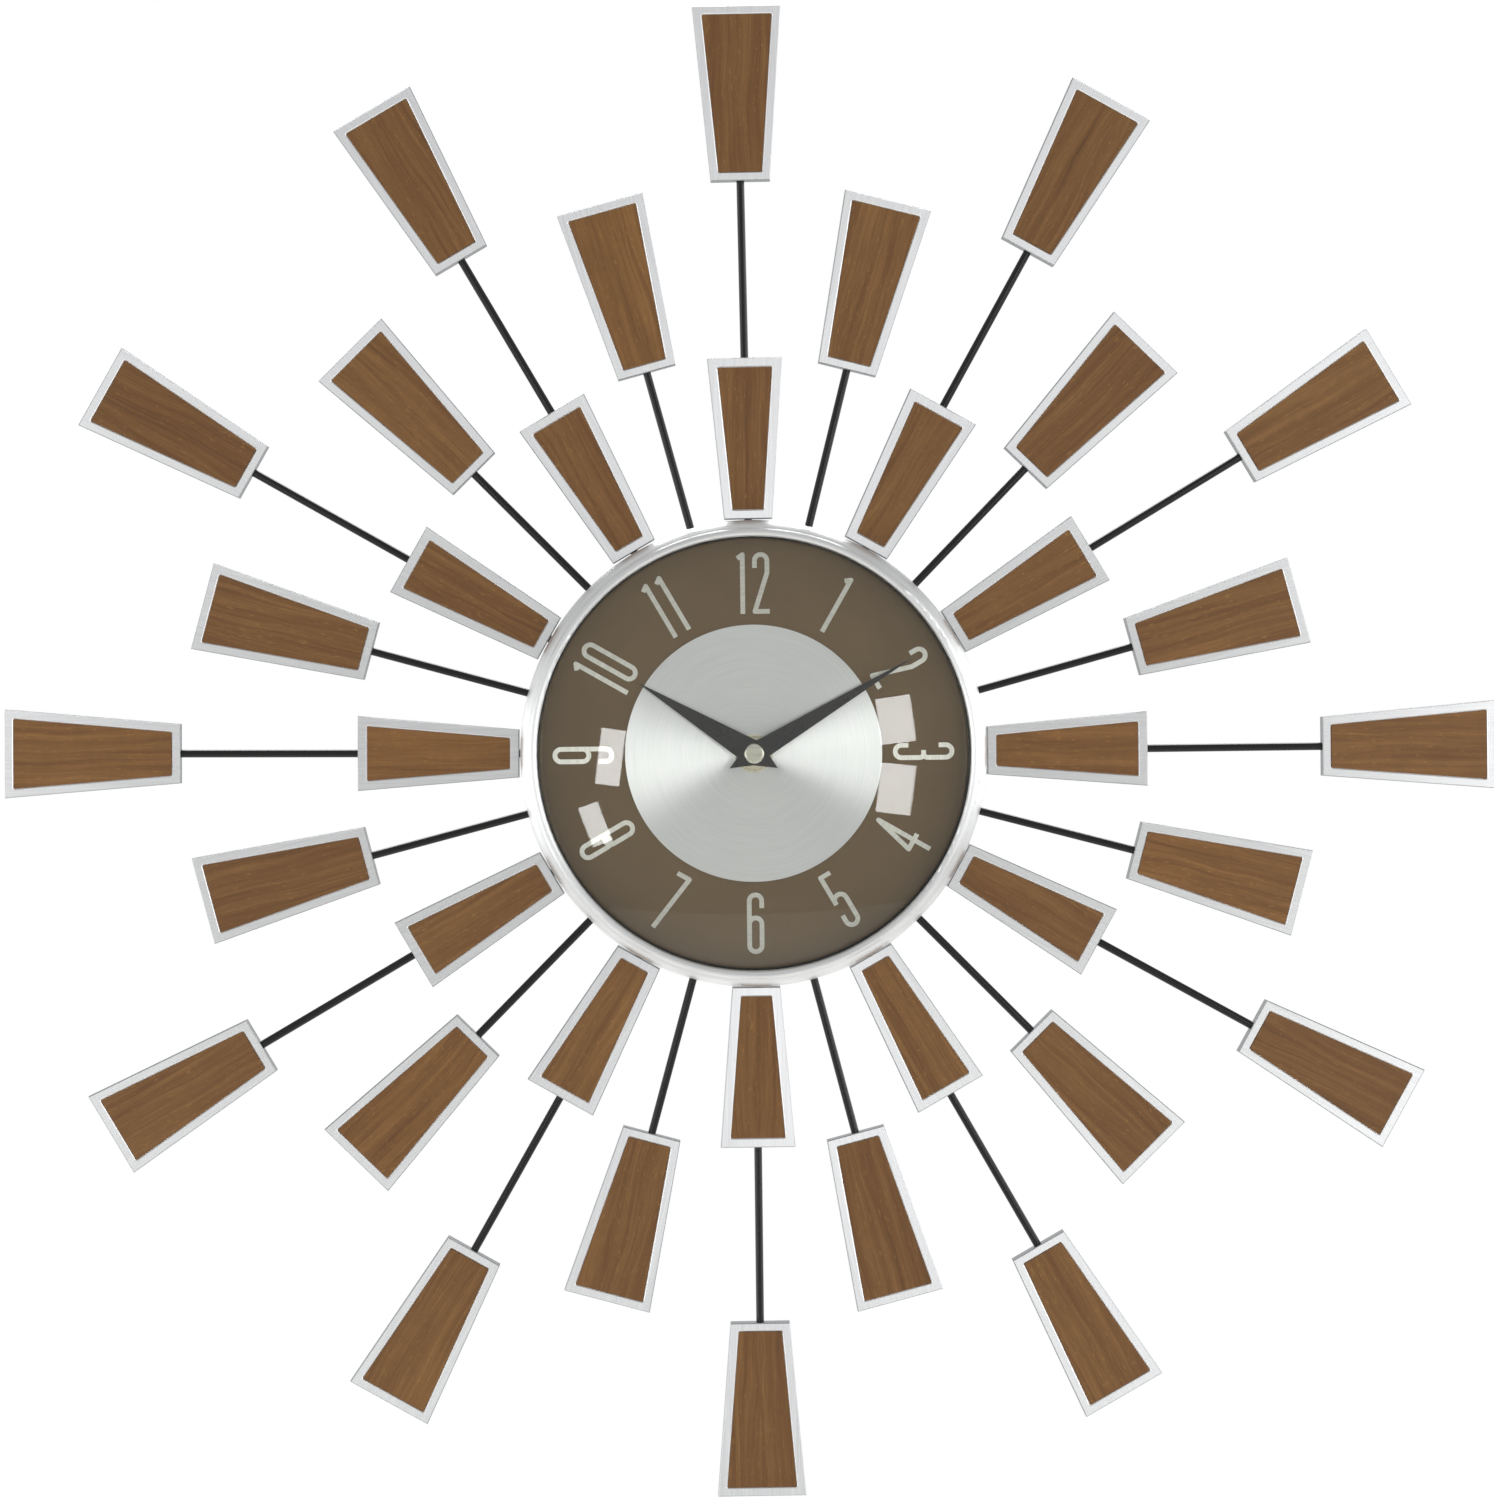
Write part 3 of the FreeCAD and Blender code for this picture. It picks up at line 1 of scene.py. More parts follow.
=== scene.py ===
"""Sunburst wall clock: materials, floor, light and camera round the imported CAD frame.

Metres, seen from the front along +Y, Z up. Procedural textures are laid out in millimetres of each node's own
object coordinates, so they move with the part. Angles on the dial run clockwise from twelve.
"""

import math

import bpy
from mathutils import Matrix, Quaternion, Vector

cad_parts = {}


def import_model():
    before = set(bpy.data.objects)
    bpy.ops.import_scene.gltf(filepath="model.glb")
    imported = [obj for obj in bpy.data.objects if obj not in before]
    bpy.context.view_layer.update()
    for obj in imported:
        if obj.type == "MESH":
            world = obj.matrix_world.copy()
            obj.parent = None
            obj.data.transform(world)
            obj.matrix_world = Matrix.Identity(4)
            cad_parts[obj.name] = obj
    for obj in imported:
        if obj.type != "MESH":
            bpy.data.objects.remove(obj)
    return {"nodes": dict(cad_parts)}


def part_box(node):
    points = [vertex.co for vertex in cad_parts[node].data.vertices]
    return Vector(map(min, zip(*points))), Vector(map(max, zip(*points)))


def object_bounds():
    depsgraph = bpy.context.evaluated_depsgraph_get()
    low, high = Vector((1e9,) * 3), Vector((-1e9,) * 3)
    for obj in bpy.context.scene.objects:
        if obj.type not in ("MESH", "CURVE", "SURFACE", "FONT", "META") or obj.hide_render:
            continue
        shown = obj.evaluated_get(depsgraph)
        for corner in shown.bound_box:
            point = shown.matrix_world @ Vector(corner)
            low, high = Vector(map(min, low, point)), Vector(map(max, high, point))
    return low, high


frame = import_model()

CAD_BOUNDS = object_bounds()

MM = 0.001
SPOKE_PITCH = 30.0  # degrees between two blades of one ring
MIDDLE_RING_TURN = 15.0  # the middle ring sits half a pitch further round
OUTER_BLADE_MIDDLE = 269.0  # millimetres from the hand axis to half way along a blade
MIDDLE_BLADE_MIDDLE = 197.0
INNER_BLADE_MIDDLE = 129.0


def linear(red, green, blue):
    """An 8-bit sRGB colour as the linear values that a colour socket takes."""
    out = []
    for value in (red, green, blue):
        part = value / 255
        out.append(part / 12.92 if part <= 0.04045 else ((part + 0.055) / 1.055) ** 2.4)
    return (*out, 1.0)


# ---------------------------------------------------------------- node trees

NOISE_LOW, NOISE_HIGH = 0.3, 0.7  # most of a noise's values lie between these
COLOUR_A, COLOUR_B, COLOUR_OUT = 6, 7, 2  # a Mix node's colour sockets, which share their names with others
BEVEL_SAMPLES = 4
FLAT_FACE, BROKEN_EDGE = 0.98, 0.9  # how far a normal follows the clock's axis on each


class Nodes:
    """A node tree, and short ways to add to it."""

    def __init__(self, owner):
        owner.use_nodes = True
        self.tree = owner.node_tree
        self.tree.nodes.clear()

    def node(self, kind, **settings):
        made = self.tree.nodes.new(kind)
        for key, value in settings.items():
            setattr(made, key, value)
        return made

    def feed(self, socket, value):
        """Link a socket, or set a fixed value on it."""
        if isinstance(value, bpy.types.NodeSocket):
            self.tree.links.new(value, socket)
        else:
            socket.default_value = value

    def math(self, operation, first, second=0.0):
        made = self.node("ShaderNodeMath", operation=operation)
        for socket, value in zip(made.inputs, (first, second)):
            self.feed(socket, value)
        return made.outputs[0]

    def spread(self, value, low, high, to_low=0.0, to_high=1.0):
        """A value between low and high, stretched to lie between to_low and to_high."""
        made = self.node("ShaderNodeMapRange")
        names = ("Value", "From Min", "From Max", "To Min", "To Max")
        for key, part in zip(names, (value, low, high, to_low, to_high)):
            self.feed(made.inputs[key], part)
        return made.outputs["Result"]


class Finish(Nodes):
    """One material, built up node by node round a Principled shader."""

    def __init__(self, name):
        self.material = bpy.data.materials.new(name)
        super().__init__(self.material)
        self.output = self.node("ShaderNodeOutputMaterial")
        self.shader = self.node("ShaderNodeBsdfPrincipled")
        self.tree.links.new(self.shader.outputs["BSDF"], self.output.inputs["Surface"])
        self._place = None

    def set(self, **values):
        """Shader inputs by name, with underscores for spaces."""
        for key, value in values.items():
            self.feed(self.shader.inputs[key.replace("_", " ")], value)

    def place(self):
        """x, y and z of the shaded point in millimetres."""
        if self._place is None:
            coordinates = self.node("ShaderNodeTexCoord")
            scaled = self.node("ShaderNodeVectorMath", operation="SCALE")
            self.feed(scaled.inputs[0], coordinates.outputs["Object"])
            scaled.inputs["Scale"].default_value = 1 / MM
            split = self.node("ShaderNodeSeparateXYZ")
            self.feed(split.inputs[0], scaled.outputs[0])
            self._place = tuple(split.outputs)
        return self._place

    def vector(self, x, y, z):
        made = self.node("ShaderNodeCombineXYZ")
        for socket, value in zip(made.inputs, (x, y, z)):
            self.feed(socket, value)
        return made.outputs[0]

    def noise(self, position, scale=1.0, detail=2.0, roughness=0.5, distortion=0.0):
        made = self.node("ShaderNodeTexNoise")
        self.feed(made.inputs["Vector"], position)
        made.inputs["Scale"].default_value = scale
        made.inputs["Detail"].default_value = detail
        made.inputs["Roughness"].default_value = roughness
        made.inputs["Distortion"].default_value = distortion
        return made.outputs["Fac"]

    def streaks(self, position, cycles, **looks):
        """Noise with its own number of cycles per millimetre along each part of a position."""
        scaled = [self.math("MULTIPLY", part, count) for part, count in zip(position, cycles)]
        return self.noise(self.vector(*scaled), **looks)

    def vary(self, noise, low=0.0, high=1.0):
        """A noise spread from low to high."""
        return self.spread(noise, NOISE_LOW, NOISE_HIGH, low, high)

    def random(self, value):
        """A fixed random number from 0 to 1 for each whole number."""
        made = self.node("ShaderNodeTexWhiteNoise", noise_dimensions="1D")
        self.feed(made.inputs["W"], value)
        return made.outputs["Value"]

    def ramp(self, value, *stops):
        made = self.node("ShaderNodeValToRGB")
        elements = made.color_ramp.elements
        while len(elements) < len(stops):
            elements.new(0.5)
        for element, (position, colour) in zip(elements, stops):
            element.position = position
            element.color = colour
        self.feed(made.inputs["Fac"], value)
        return made.outputs["Color"]

    def mix(self, factor, first, second, blend="MIX"):
        made = self.node("ShaderNodeMix", data_type="RGBA", blend_type=blend)
        self.feed(made.inputs["Factor"], factor)
        self.feed(made.inputs[COLOUR_A], first)
        self.feed(made.inputs[COLOUR_B], second)
        return made.outputs[COLOUR_OUT]

    def part_mix(self, factor, share, first, second):
        """Two colours mixed by a factor that reaches only this share of the second."""
        return self.mix(self.math("MULTIPLY", factor, share), first, second)

    def bump(self, height, depth_mm, strength, over=None):
        """A surface normal from a height of 0 to 1 that stands for depth_mm."""
        made = self.node("ShaderNodeBump")
        made.inputs["Strength"].default_value = strength
        made.inputs["Distance"].default_value = depth_mm * MM
        self.feed(made.inputs["Height"], height)
        if over is not None:
            self.feed(made.inputs["Normal"], over)
        return made.outputs["Normal"]

    def rounded(self, radius_mm):
        """A surface normal with its sharp edges broken to this radius."""
        made = self.node("ShaderNodeBevel", samples=BEVEL_SAMPLES)
        made.inputs["Radius"].default_value = radius_mm * MM
        return made.outputs["Normal"]

    def edge(self, radius_mm, gain):
        """1 on sharp edges and 0 on flats, where handling wears a finish, and where the hands get a painted
        highlight.
        """
        soft = self.rounded(radius_mm)
        plain = self.node("ShaderNodeNewGeometry")
        dot = self.node("ShaderNodeVectorMath", operation="DOT_PRODUCT")
        self.feed(dot.inputs[0], soft)
        self.feed(dot.inputs[1], plain.outputs["Normal"])
        turned = self.math("SUBTRACT", 1.0, dot.outputs["Value"])
        return self.math("MINIMUM", self.math("MULTIPLY", turned, gain), 1.0)

    def normal(self):
        """The parts of the object-space normal. Y is -1 to the front and 1 to the back."""
        coordinates = self.node("ShaderNodeTexCoord")
        split = self.node("ShaderNodeSeparateXYZ")
        self.feed(split.inputs[0], coordinates.outputs["Normal"])
        return tuple(split.outputs)

    def off_square(self):
        """1 on broken edges and walls, 0 on faces square to the clock's axis."""
        return self.spread(self.math("ABSOLUTE", self.normal()[1]), FLAT_FACE, BROKEN_EDGE)

    def round_axis(self):
        """Radius in millimetres and clockwise angle in degrees about the clock's axis."""
        x, _, z = self.place()
        squares = self.math("ADD", self.math("MULTIPLY", x, x), self.math("MULTIPLY", z, z))
        radius = self.math("SQRT", squares)
        angle = self.math("DEGREES", self.math("ARCTAN2", x, z))
        return radius, angle

    def turned(self, twist, radial_cycles, **looks):
        """Noise drawn out into rings about the clock's axis, with twist cycles for each degree round it."""
        radius, angle = self.round_axis()
        depth = self.place()[1]
        position = (radius, depth, self.math("MULTIPLY", angle, twist))
        return self.streaks(position, (radial_cycles, radial_cycles, 1.0), **looks)

    def on_spoke(self, turn):
        """Distance along and across the nearest spoke, and the spoke's number."""
        radius, angle = self.round_axis()
        from_first = self.math("SUBTRACT", angle, turn)
        number = self.math("ROUND", self.math("DIVIDE", from_first, SPOKE_PITCH))
        off_spoke = self.math("SUBTRACT", from_first, self.math("MULTIPLY", number, SPOKE_PITCH))
        local = self.math("RADIANS", off_spoke)
        along = self.math("MULTIPLY", radius, self.math("COSINE", local))
        across = self.math("MULTIPLY", radius, self.math("SINE", local))
        return along, across, number

    def outward(self, turn, along, across, number, middle):
        """How far a wall of a blade faces away from the blade's middle: 1 on its rim, -1 round its recess."""
        x, _, z = self.normal()
        angle = self.math("RADIANS", self.math("ADD", self.math("MULTIPLY", number, SPOKE_PITCH), turn))
        sine, cosine = self.math("SINE", angle), self.math("COSINE", angle)
        sideways = self.math("SUBTRACT", self.math("MULTIPLY", x, cosine), self.math("MULTIPLY", z, sine))
        lengthways = self.math("ADD", self.math("MULTIPLY", x, sine), self.math("MULTIPLY", z, cosine))
        side = self.math("MULTIPLY", sideways, self.math("SIGN", across))
        from_middle = self.math("SUBTRACT", along, middle)
        end = self.math("MULTIPLY", lengthways, self.math("SIGN", from_middle))
        return self.math("ADD", side, end)

    def round_tangent(self):
        """The direction round the clock's axis, for a brushed metal's stretched gloss."""
        made = self.node("ShaderNodeTangent", direction_type="RADIAL", axis="Y")
        return made.outputs["Tangent"]


# ---------------------------------------------------------------- materials

WOOD_NUMBERS_FROM, WOOD_SEEDS = 40.0, 400.0  # each panel's random number, and how far it moves the grain
METAL_NUMBERS_FROM, METAL_SEEDS = 70.0, 300.0
WOOD_BENDS = 9.0  # millimetres by which the grain wanders sideways
WOOD_FIGURE = (
    (0.28, linear(91, 60, 30)),
    (0.42, linear(108, 73, 37)),
    (0.52, linear(118, 82, 43)),
    (0.62, linear(128, 91, 50)),
    (0.76, linear(143, 104, 58)),
)
WOOD_TONES = (
    (0.0, (0.90, 0.88, 0.86, 1)),
    (0.5, (1.0, 1.0, 1.0, 1)),
    (1.0, (1.08, 1.05, 0.98, 1)),
)


def walnut(name, turn):
    """Straight-grained walnut veneer, each panel cut from a different piece."""
    f = Finish(name)
    along, across, number = f.on_spoke(turn)
    piece = f.random(f.math("ADD", number, turn + WOOD_NUMBERS_FROM))
    seed = f.math("MULTIPLY", piece, WOOD_SEEDS)
    straight = (across, along, seed)
    wander = f.streaks(straight, (0.05, 0.016, 1.0), detail=2.0)
    bent = (f.math("ADD", across, f.math("MULTIPLY", wander, WOOD_BENDS)), along, seed)
    rings = f.streaks(bent, (0.42, 0.012, 1.0), detail=3.0, roughness=0.55)
    lines = f.streaks(bent, (1.6, 0.03, 1.0), detail=4.0, roughness=0.6)
    pores = f.streaks(bent, (5.5, 0.22, 1.0), detail=2.0)
    figure = f.math("ADD", f.math("MULTIPLY", rings, 0.62), f.math("MULTIPLY", lines, 0.38))
    wood = f.ramp(figure, *WOOD_FIGURE)
    mottle = f.streaks(straight, (0.07, 0.11, 1.0), detail=3.0)
    wood = f.mix(f.spread(mottle, 0.35, 0.65, 0.0, 0.22), wood, linear(100, 68, 34))
    gold = f.streaks(bent, (1.1, 0.3, 1.0), detail=2.0)
    wood = f.mix(f.spread(gold, 0.62, 0.74, 0.0, 0.3), wood, linear(164, 124, 66))
    wood = f.mix(1.0, wood, f.ramp(piece, *WOOD_TONES), "MULTIPLY")
    pit = f.spread(pores, 0.60, 0.70)
    wood = f.part_mix(pit, 0.35, wood, linear(66, 43, 25))
    height = f.math("SUBTRACT", f.math("MULTIPLY", lines, 0.5), f.math("MULTIPLY", pit, 0.5))
    f.set(Base_Color=wood, Roughness=f.vary(lines, 0.40, 0.54), Specular_IOR_Level=0.3)
    f.set(Coat_Weight=0.08, Coat_Roughness=0.3, Normal=f.bump(height, 0.04, 0.4))
    return f.material


def brushed_blades(name, turn, middle):
    """Aluminium brushed along each blade, with painted shade on the walls round its rim and a painted
    highlight on the walls round its recess.
    """
    f = Finish(name)
    along, across, number = f.on_spoke(turn)
    depth = f.place()[1]
    piece = f.random(f.math("ADD", number, turn + METAL_NUMBERS_FROM))
    seed = f.math("MULTIPLY", piece, METAL_SEEDS)
    position = (across, along, f.math("ADD", depth, seed))
    fine = f.streaks(position, (2.2, 0.03, 1.2), detail=3.0, roughness=0.55)
    broad = f.streaks(position, (0.9, 0.012, 0.4), detail=2.0)
    lines = f.math("ADD", f.math("MULTIPLY", fine, 0.7), f.math("MULTIPLY", broad, 0.3))
    tones = ((0.28, linear(214, 215, 216)), (0.5, linear(224, 225, 226)), (0.72, linear(234, 235, 236)))
    metal = f.ramp(lines, *tones)
    turned_out = f.outward(turn, along, across, number, middle)
    # Masks for painted light on the blade's walls: painted shade on those round its rim, and a painted
    # highlight on those round its recess.
    painted_rim_shade = f.math("MULTIPLY", f.off_square(), f.spread(turned_out, 0.2, 0.4))
    painted_recess_highlight = f.math("MULTIPLY", f.off_square(), f.spread(turned_out, -0.2, -0.4))
    # Painted shade darkens the rim's walls and a painted highlight whitens the recess's walls.
    metal = f.part_mix(painted_rim_shade, 0.8, metal, linear(150, 151, 153))
    metal = f.part_mix(painted_recess_highlight, 0.8, metal, linear(252, 252, 252))
    f.set(Base_Color=metal, Metallic=1.0, Anisotropic=0.8, Tangent=f.round_tangent())
    f.set(Roughness=f.vary(broad, 0.38, 0.42), Normal=f.bump(fine, 0.003, 0.2))
    return f.material


RING_SPREAD = 0.045  # how much rougher or smoother than the rest a ring gets
ACROSS_RINGS = 0.25  # a quarter turn from the tangent, so that the gloss stretches across the rings


def spun(name, dark, mid, light, roughness, anisotropic, groove_mm):
    """Metal turned or brushed in circles about the clock's axis."""
    f = Finish(name)
    fine = f.turned(0.02, 3.0, detail=3.0, roughness=0.6)
    broad = f.turned(0.05, 0.8, detail=3.0)
    rings = f.turned(0.008, 1.1, detail=1.0)
    cloud = f.noise(f.vector(*f.place()), scale=0.03, detail=3.0)
    lines = f.math("ADD", f.math("MULTIPLY", fine, 0.6), f.math("MULTIPLY", broad, 0.25))
    lines = f.math("ADD", lines, f.math("MULTIPLY", cloud, 0.15))
    metal = f.ramp(lines, (0.30, dark), (0.5, mid), (0.70, light))
    f.set(Base_Color=metal, Metallic=1.0, Anisotropic=anisotropic, Anisotropic_Rotation=ACROSS_RINGS)
    f.set(Roughness=f.vary(rings, roughness - RING_SPREAD, roughness + RING_SPREAD))
    f.set(Tangent=f.round_tangent(), Normal=f.bump(fine, groove_mm, 0.4))
    return f.material


def gloss_black_rods():
    """Black enamel over drawn rod, with dust specks and a slight orange peel."""
    f = Finish("black_gloss_rods")
    here = f.vector(*f.place())
    peel = f.noise(here, scale=0.7, detail=2.0)
    specks = f.spread(f.noise(here, scale=2.6, detail=1.0), 0.70, 0.76)
    cloud = f.noise(here, scale=0.05, detail=3.0)
    tone = f.ramp(cloud, (0.3, linear(12, 11, 11)), (0.7, linear(19, 17, 17)))
    tone = f.part_mix(specks, 0.06, tone, linear(80, 78, 76))
    smudges = f.noise(here, scale=0.035, detail=4.0)
    f.set(Base_Color=tone, Roughness=f.vary(smudges, 0.16, 0.24), Specular_IOR_Level=0.35)
    f.set(Normal=f.bump(peel, 0.002, 0.2))
    return f.material


def satin_black_coat():
    """A baked coat with a fine grain, rubbed a little lighter on its edges."""
    f = Finish("black_satin_coat")
    here = f.vector(*f.place())
    grain_mm = 0.6
    grain = f.noise(here, scale=1 / grain_mm, detail=3.0, roughness=0.6)
    cloud = f.noise(here, scale=0.04, detail=4.0)
    tone = f.mix(f.vary(cloud), linear(26, 26, 27), linear(34, 34, 35))
    tone = f.part_mix(f.edge(0.35, 5.0), 0.45, tone, linear(120, 118, 115))
    f.set(Base_Color=tone, Roughness=f.vary(grain, 0.40, 0.54))
    f.set(Normal=f.bump(grain, 0.03, 0.5, f.rounded(0.25)))
    return f.material


def moulded_plastic(name, base, highlight, roughness, grain_mm=0.35, through=0.0):
    """Injection-moulded plastic: spark-eroded grain, flow marks and paler edges."""
    f = Finish(name)
    grain = f.noise(f.vector(*f.place()), scale=1 / grain_mm, detail=2.0, roughness=0.6)
    flow = f.streaks(f.place(), (0.12, 0.4, 0.04), detail=3.0, distortion=0.8)
    tone = f.mix(f.spread(flow, 0.35, 0.65), base, highlight)
    pale = tuple(min(1.0, part * 1.9 + 0.02) for part in highlight[:3]) + (1.0,)
    tone = f.part_mix(f.edge(0.2, 4.0), 0.4, tone, pale)
    f.set(Base_Color=tone, Roughness=f.vary(grain, roughness - 0.05, roughness + 0.07))
    f.set(Subsurface_Weight=through, Subsurface_Scale=0.001)
    f.set(Normal=f.bump(grain, 0.02, 0.4, f.rounded(0.12)))
    return f.material


def plated(name, dark, light, roughness, brushed_mm=0.25, blemish=linear(120, 112, 100), blemish_share=0.25):
    """Plated or bare sheet metal: fine drawn lines, stains, and edges polished by handling."""
    f = Finish(name)
    lines = f.streaks(f.place(), (0.05, 1 / brushed_mm, 1 / brushed_mm), detail=3.0, roughness=0.65)
    cloud = f.noise(f.vector(*f.place()), scale=0.16, detail=4.0, roughness=0.6)
    metal = f.mix(f.vary(lines), dark, light)
    metal = f.part_mix(f.spread(cloud, 0.56, 0.75), blemish_share, metal, blemish)
    metal = f.part_mix(f.edge(0.15, 4.0), 0.5, metal, light)
    f.set(Base_Color=metal, Metallic=1.0, Roughness=f.vary(cloud, roughness - 0.05, roughness + 0.1))
    f.set(Normal=f.bump(lines, 0.01, 0.35, f.rounded(0.1)))
    return f.material


def taupe_dial():
    """Satin taupe lacquer over a circularly brushed dial, whose back is left bare."""
    f = Finish("taupe_dial_lacquer")
    here = f.vector(*f.place())
    brushed = f.turned(0.02, 0.9, detail=2.0)
    cloud = f.noise(here, scale=0.02, detail=4.0)
    peel = f.noise(here, scale=0.35, detail=1.0)
    blend = f.math("ADD", f.math("MULTIPLY", brushed, 0.35), f.math("MULTIPLY", cloud, 0.65))
    tone = f.ramp(blend, (0.32, linear(90, 69, 37)), (0.5, linear(95, 74, 41)), (0.68, linear(100, 79, 45)))
    back = f.math("GREATER_THAN", f.normal()[1], 0.5)
    bare = f.mix(f.vary(brushed), linear(150, 151, 152), linear(182, 183, 184))
    f.set(Base_Color=f.mix(back, tone, bare), Metallic=back, Specular_IOR_Level=0.25)
    f.set(Roughness=f.vary(brushed, 0.46, 0.56), Normal=f.bump(peel, 0.002, 0.2))
    return f.material


def rubber():
    """Matt black rubber with a bloom of chalk, paler on its edges."""
    f = Finish("rubber_seal")
    here = f.vector(*f.place())
    grain = f.noise(here, scale=2.2, detail=3.0)
    bloom = f.spread(f.noise(here, scale=0.09, detail=4.0), 0.4, 0.75, 0.0, 0.35)
    tone = f.mix(bloom, linear(24, 23, 22), linear(62, 60, 57))
    tone = f.part_mix(f.edge(0.15, 3.0), 0.3, tone, linear(84, 82, 79))
    f.set(Base_Color=tone, Roughness=f.vary(grain, 0.62, 0.8), Normal=f.bump(grain, 0.03, 0.5))
    return f.material


GLASS_REFLECTS = 0.034  # share of the light reflected by the glass seen straight on
GLASS_GLANCE, GLASS_GLANCE_POWER = 0.92, 5.0  # what a glancing angle adds, and how late it comes


def clear_glass():
    """Domed crystal: clear, with a reflection that strengthens at a glancing angle."""
    f = Finish("clear_glass")
    wipe = f.streaks(f.place(), (0.02, 0.2, 0.09), detail=4.0, distortion=0.6)
    facing = f.node("ShaderNodeLayerWeight")
    facing.inputs["Blend"].default_value = 0.5
    glance = f.math("POWER", facing.outputs["Facing"], GLASS_GLANCE_POWER)
    share = f.math("ADD", f.math("MULTIPLY", glance, GLASS_GLANCE), GLASS_REFLECTS)
    specks = f.noise(f.vector(*f.place()), scale=1.4, detail=1.0)
    dust = f.math("MULTIPLY", f.spread(specks, 0.74, 0.80), 0.05)
    clear = f.node("ShaderNodeBsdfTransparent")
    clear.inputs["Color"].default_value = (0.985, 0.99, 0.985, 1)
    f.set(Base_Color=f.mix(f.vary(wipe), linear(244, 247, 246), linear(255, 255, 255)), Metallic=1.0)
    f.set(Roughness=f.vary(wipe, 0.005, 0.02))
    blend = f.node("ShaderNodeMixShader")
    f.feed(blend.inputs[0], f.math("MINIMUM", f.math("ADD", share, dust), 1.0))
    f.feed(blend.inputs[1], clear.outputs[0])
    f.feed(blend.inputs[2], f.shader.outputs[0])
    f.feed(f.output.inputs["Surface"], blend.outputs[0])
    return f.material


SLEEVE_CHANGE = 0.36  # share of the cell's length at which its sleeve changes colour
SLEEVE_BAND = (0.35, 0.375)  # shares of that length between which a pale band runs
CELL_ENDS = (0.35, 1.9)  # millimetres of bare steel at the left and right ends


def cell_jacket():
    """A plain AA cell: a two-tone foil sleeve with a pale band, and steel ends."""
    f = Finish("cell_sleeve")
    low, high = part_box("battery")
    x = f.place()[0]
    left, right = low.x / MM, high.x / MM
    change, band_from, band_to = (left + share * (right - left) for share in (SLEEVE_CHANGE, *SLEEVE_BAND))
    rubbed = f.streaks(f.place(), (0.08, 0.9, 0.9), detail=4.0)
    print_grain = f.noise(f.vector(*f.place()), scale=3.0, detail=2.0)
    sleeve = f.mix(f.math("GREATER_THAN", x, change), linear(150, 96, 44), linear(38, 39, 42))
    band = f.math("MULTIPLY", f.math("GREATER_THAN", x, band_from), f.math("LESS_THAN", x, band_to))
    sleeve = f.mix(band, sleeve, linear(214, 211, 204))
    sleeve = f.mix(f.spread(rubbed, 0.60, 0.78, 0.0, 0.4), sleeve, linear(120, 116, 110))
    left_end = f.math("LESS_THAN", x, left + CELL_ENDS[0])
    right_end = f.math("GREATER_THAN", x, right - CELL_ENDS[1])
    ends = f.math("MAXIMUM", left_end, right_end)
    f.set(Base_Color=f.mix(ends, sleeve, linear(196, 195, 190)), Metallic=f.math("MAXIMUM", ends, 0.35))
    f.set(Roughness=f.vary(rubbed, 0.22, 0.36), Normal=f.bump(print_grain, 0.01, 0.3, f.rounded(0.25)))
    return f.material


WIRE_PITCH, WIRE_WANDER = 0.22, 0.12  # millimetres from turn to turn, and by which a turn strays


def copper_winding():
    """Enamelled copper wire, turn beside turn along the bobbin's axis, with painted shade between the turns
    and a painted highlight on each turn.
    """
    f = Finish("enamelled_copper")
    low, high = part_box("coil_winding")
    x, _, z = f.place()
    wander = f.noise(f.vector(*f.place()), scale=0.6, detail=2.0)
    slope = math.atan2(high.z - low.z, high.x - low.x)
    lay = f.math("ADD", f.math("MULTIPLY", x, math.cos(slope)), f.math("MULTIPLY", z, math.sin(slope)))
    lay = f.math("ADD", lay, f.math("MULTIPLY", wander, WIRE_WANDER))
    turns = f.math("SINE", f.math("MULTIPLY", lay, 2 * math.pi / WIRE_PITCH))
    groove = f.spread(turns, -1.0, 1.0)
    # Painted shade in the grooves between turns and a painted highlight on their crowns, from dark to light
    # copper.
    tone = f.mix(groove, linear(112, 48, 22), linear(212, 118, 66))
    tone = f.mix(f.spread(wander, 0.6, 0.8, 0.0, 0.4), tone, linear(88, 36, 18))
    f.set(Base_Color=tone, Metallic=1.0, Roughness=f.vary(wander, 0.24, 0.36))
    f.set(Coat_Weight=0.4, Coat_Roughness=0.12, Normal=f.bump(groove, 0.06, 0.8))
    return f.material


WEAVE = 9.0  # radians of the glass cloth's wave in a millimetre


def printed_board():
    """Green solder resist with a woven glass base and copper tracks under it."""
    f = Finish("printed_board")
    x, _, z = f.place()
    warp, weft = (f.math("SINE", f.math("MULTIPLY", part, WEAVE)) for part in (x, z))
    weave = f.math("MULTIPLY", warp, weft)
    track = f.spread(f.streaks(f.place(), (0.9, 0.1, 0.35), detail=0.0), 0.54, 0.56)
    tone = f.mix(f.spread(weave, -1.0, 1.0), linear(20, 70, 46), linear(26, 82, 54))
    tone = f.part_mix(track, 0.7, tone, linear(48, 122, 76))
    tone = f.part_mix(f.edge(0.15, 4.0), 0.7, tone, linear(150, 140, 96))
    f.set(Base_Color=tone, Roughness=f.spread(weave, -1.0, 1.0, 0.28, 0.38))
    height = f.math("ADD", track, f.math("MULTIPLY", weave, 0.1))
    f.set(Coat_Weight=0.3, Coat_Roughness=0.2, Normal=f.bump(height, 0.035, 0.6))
    return f.material


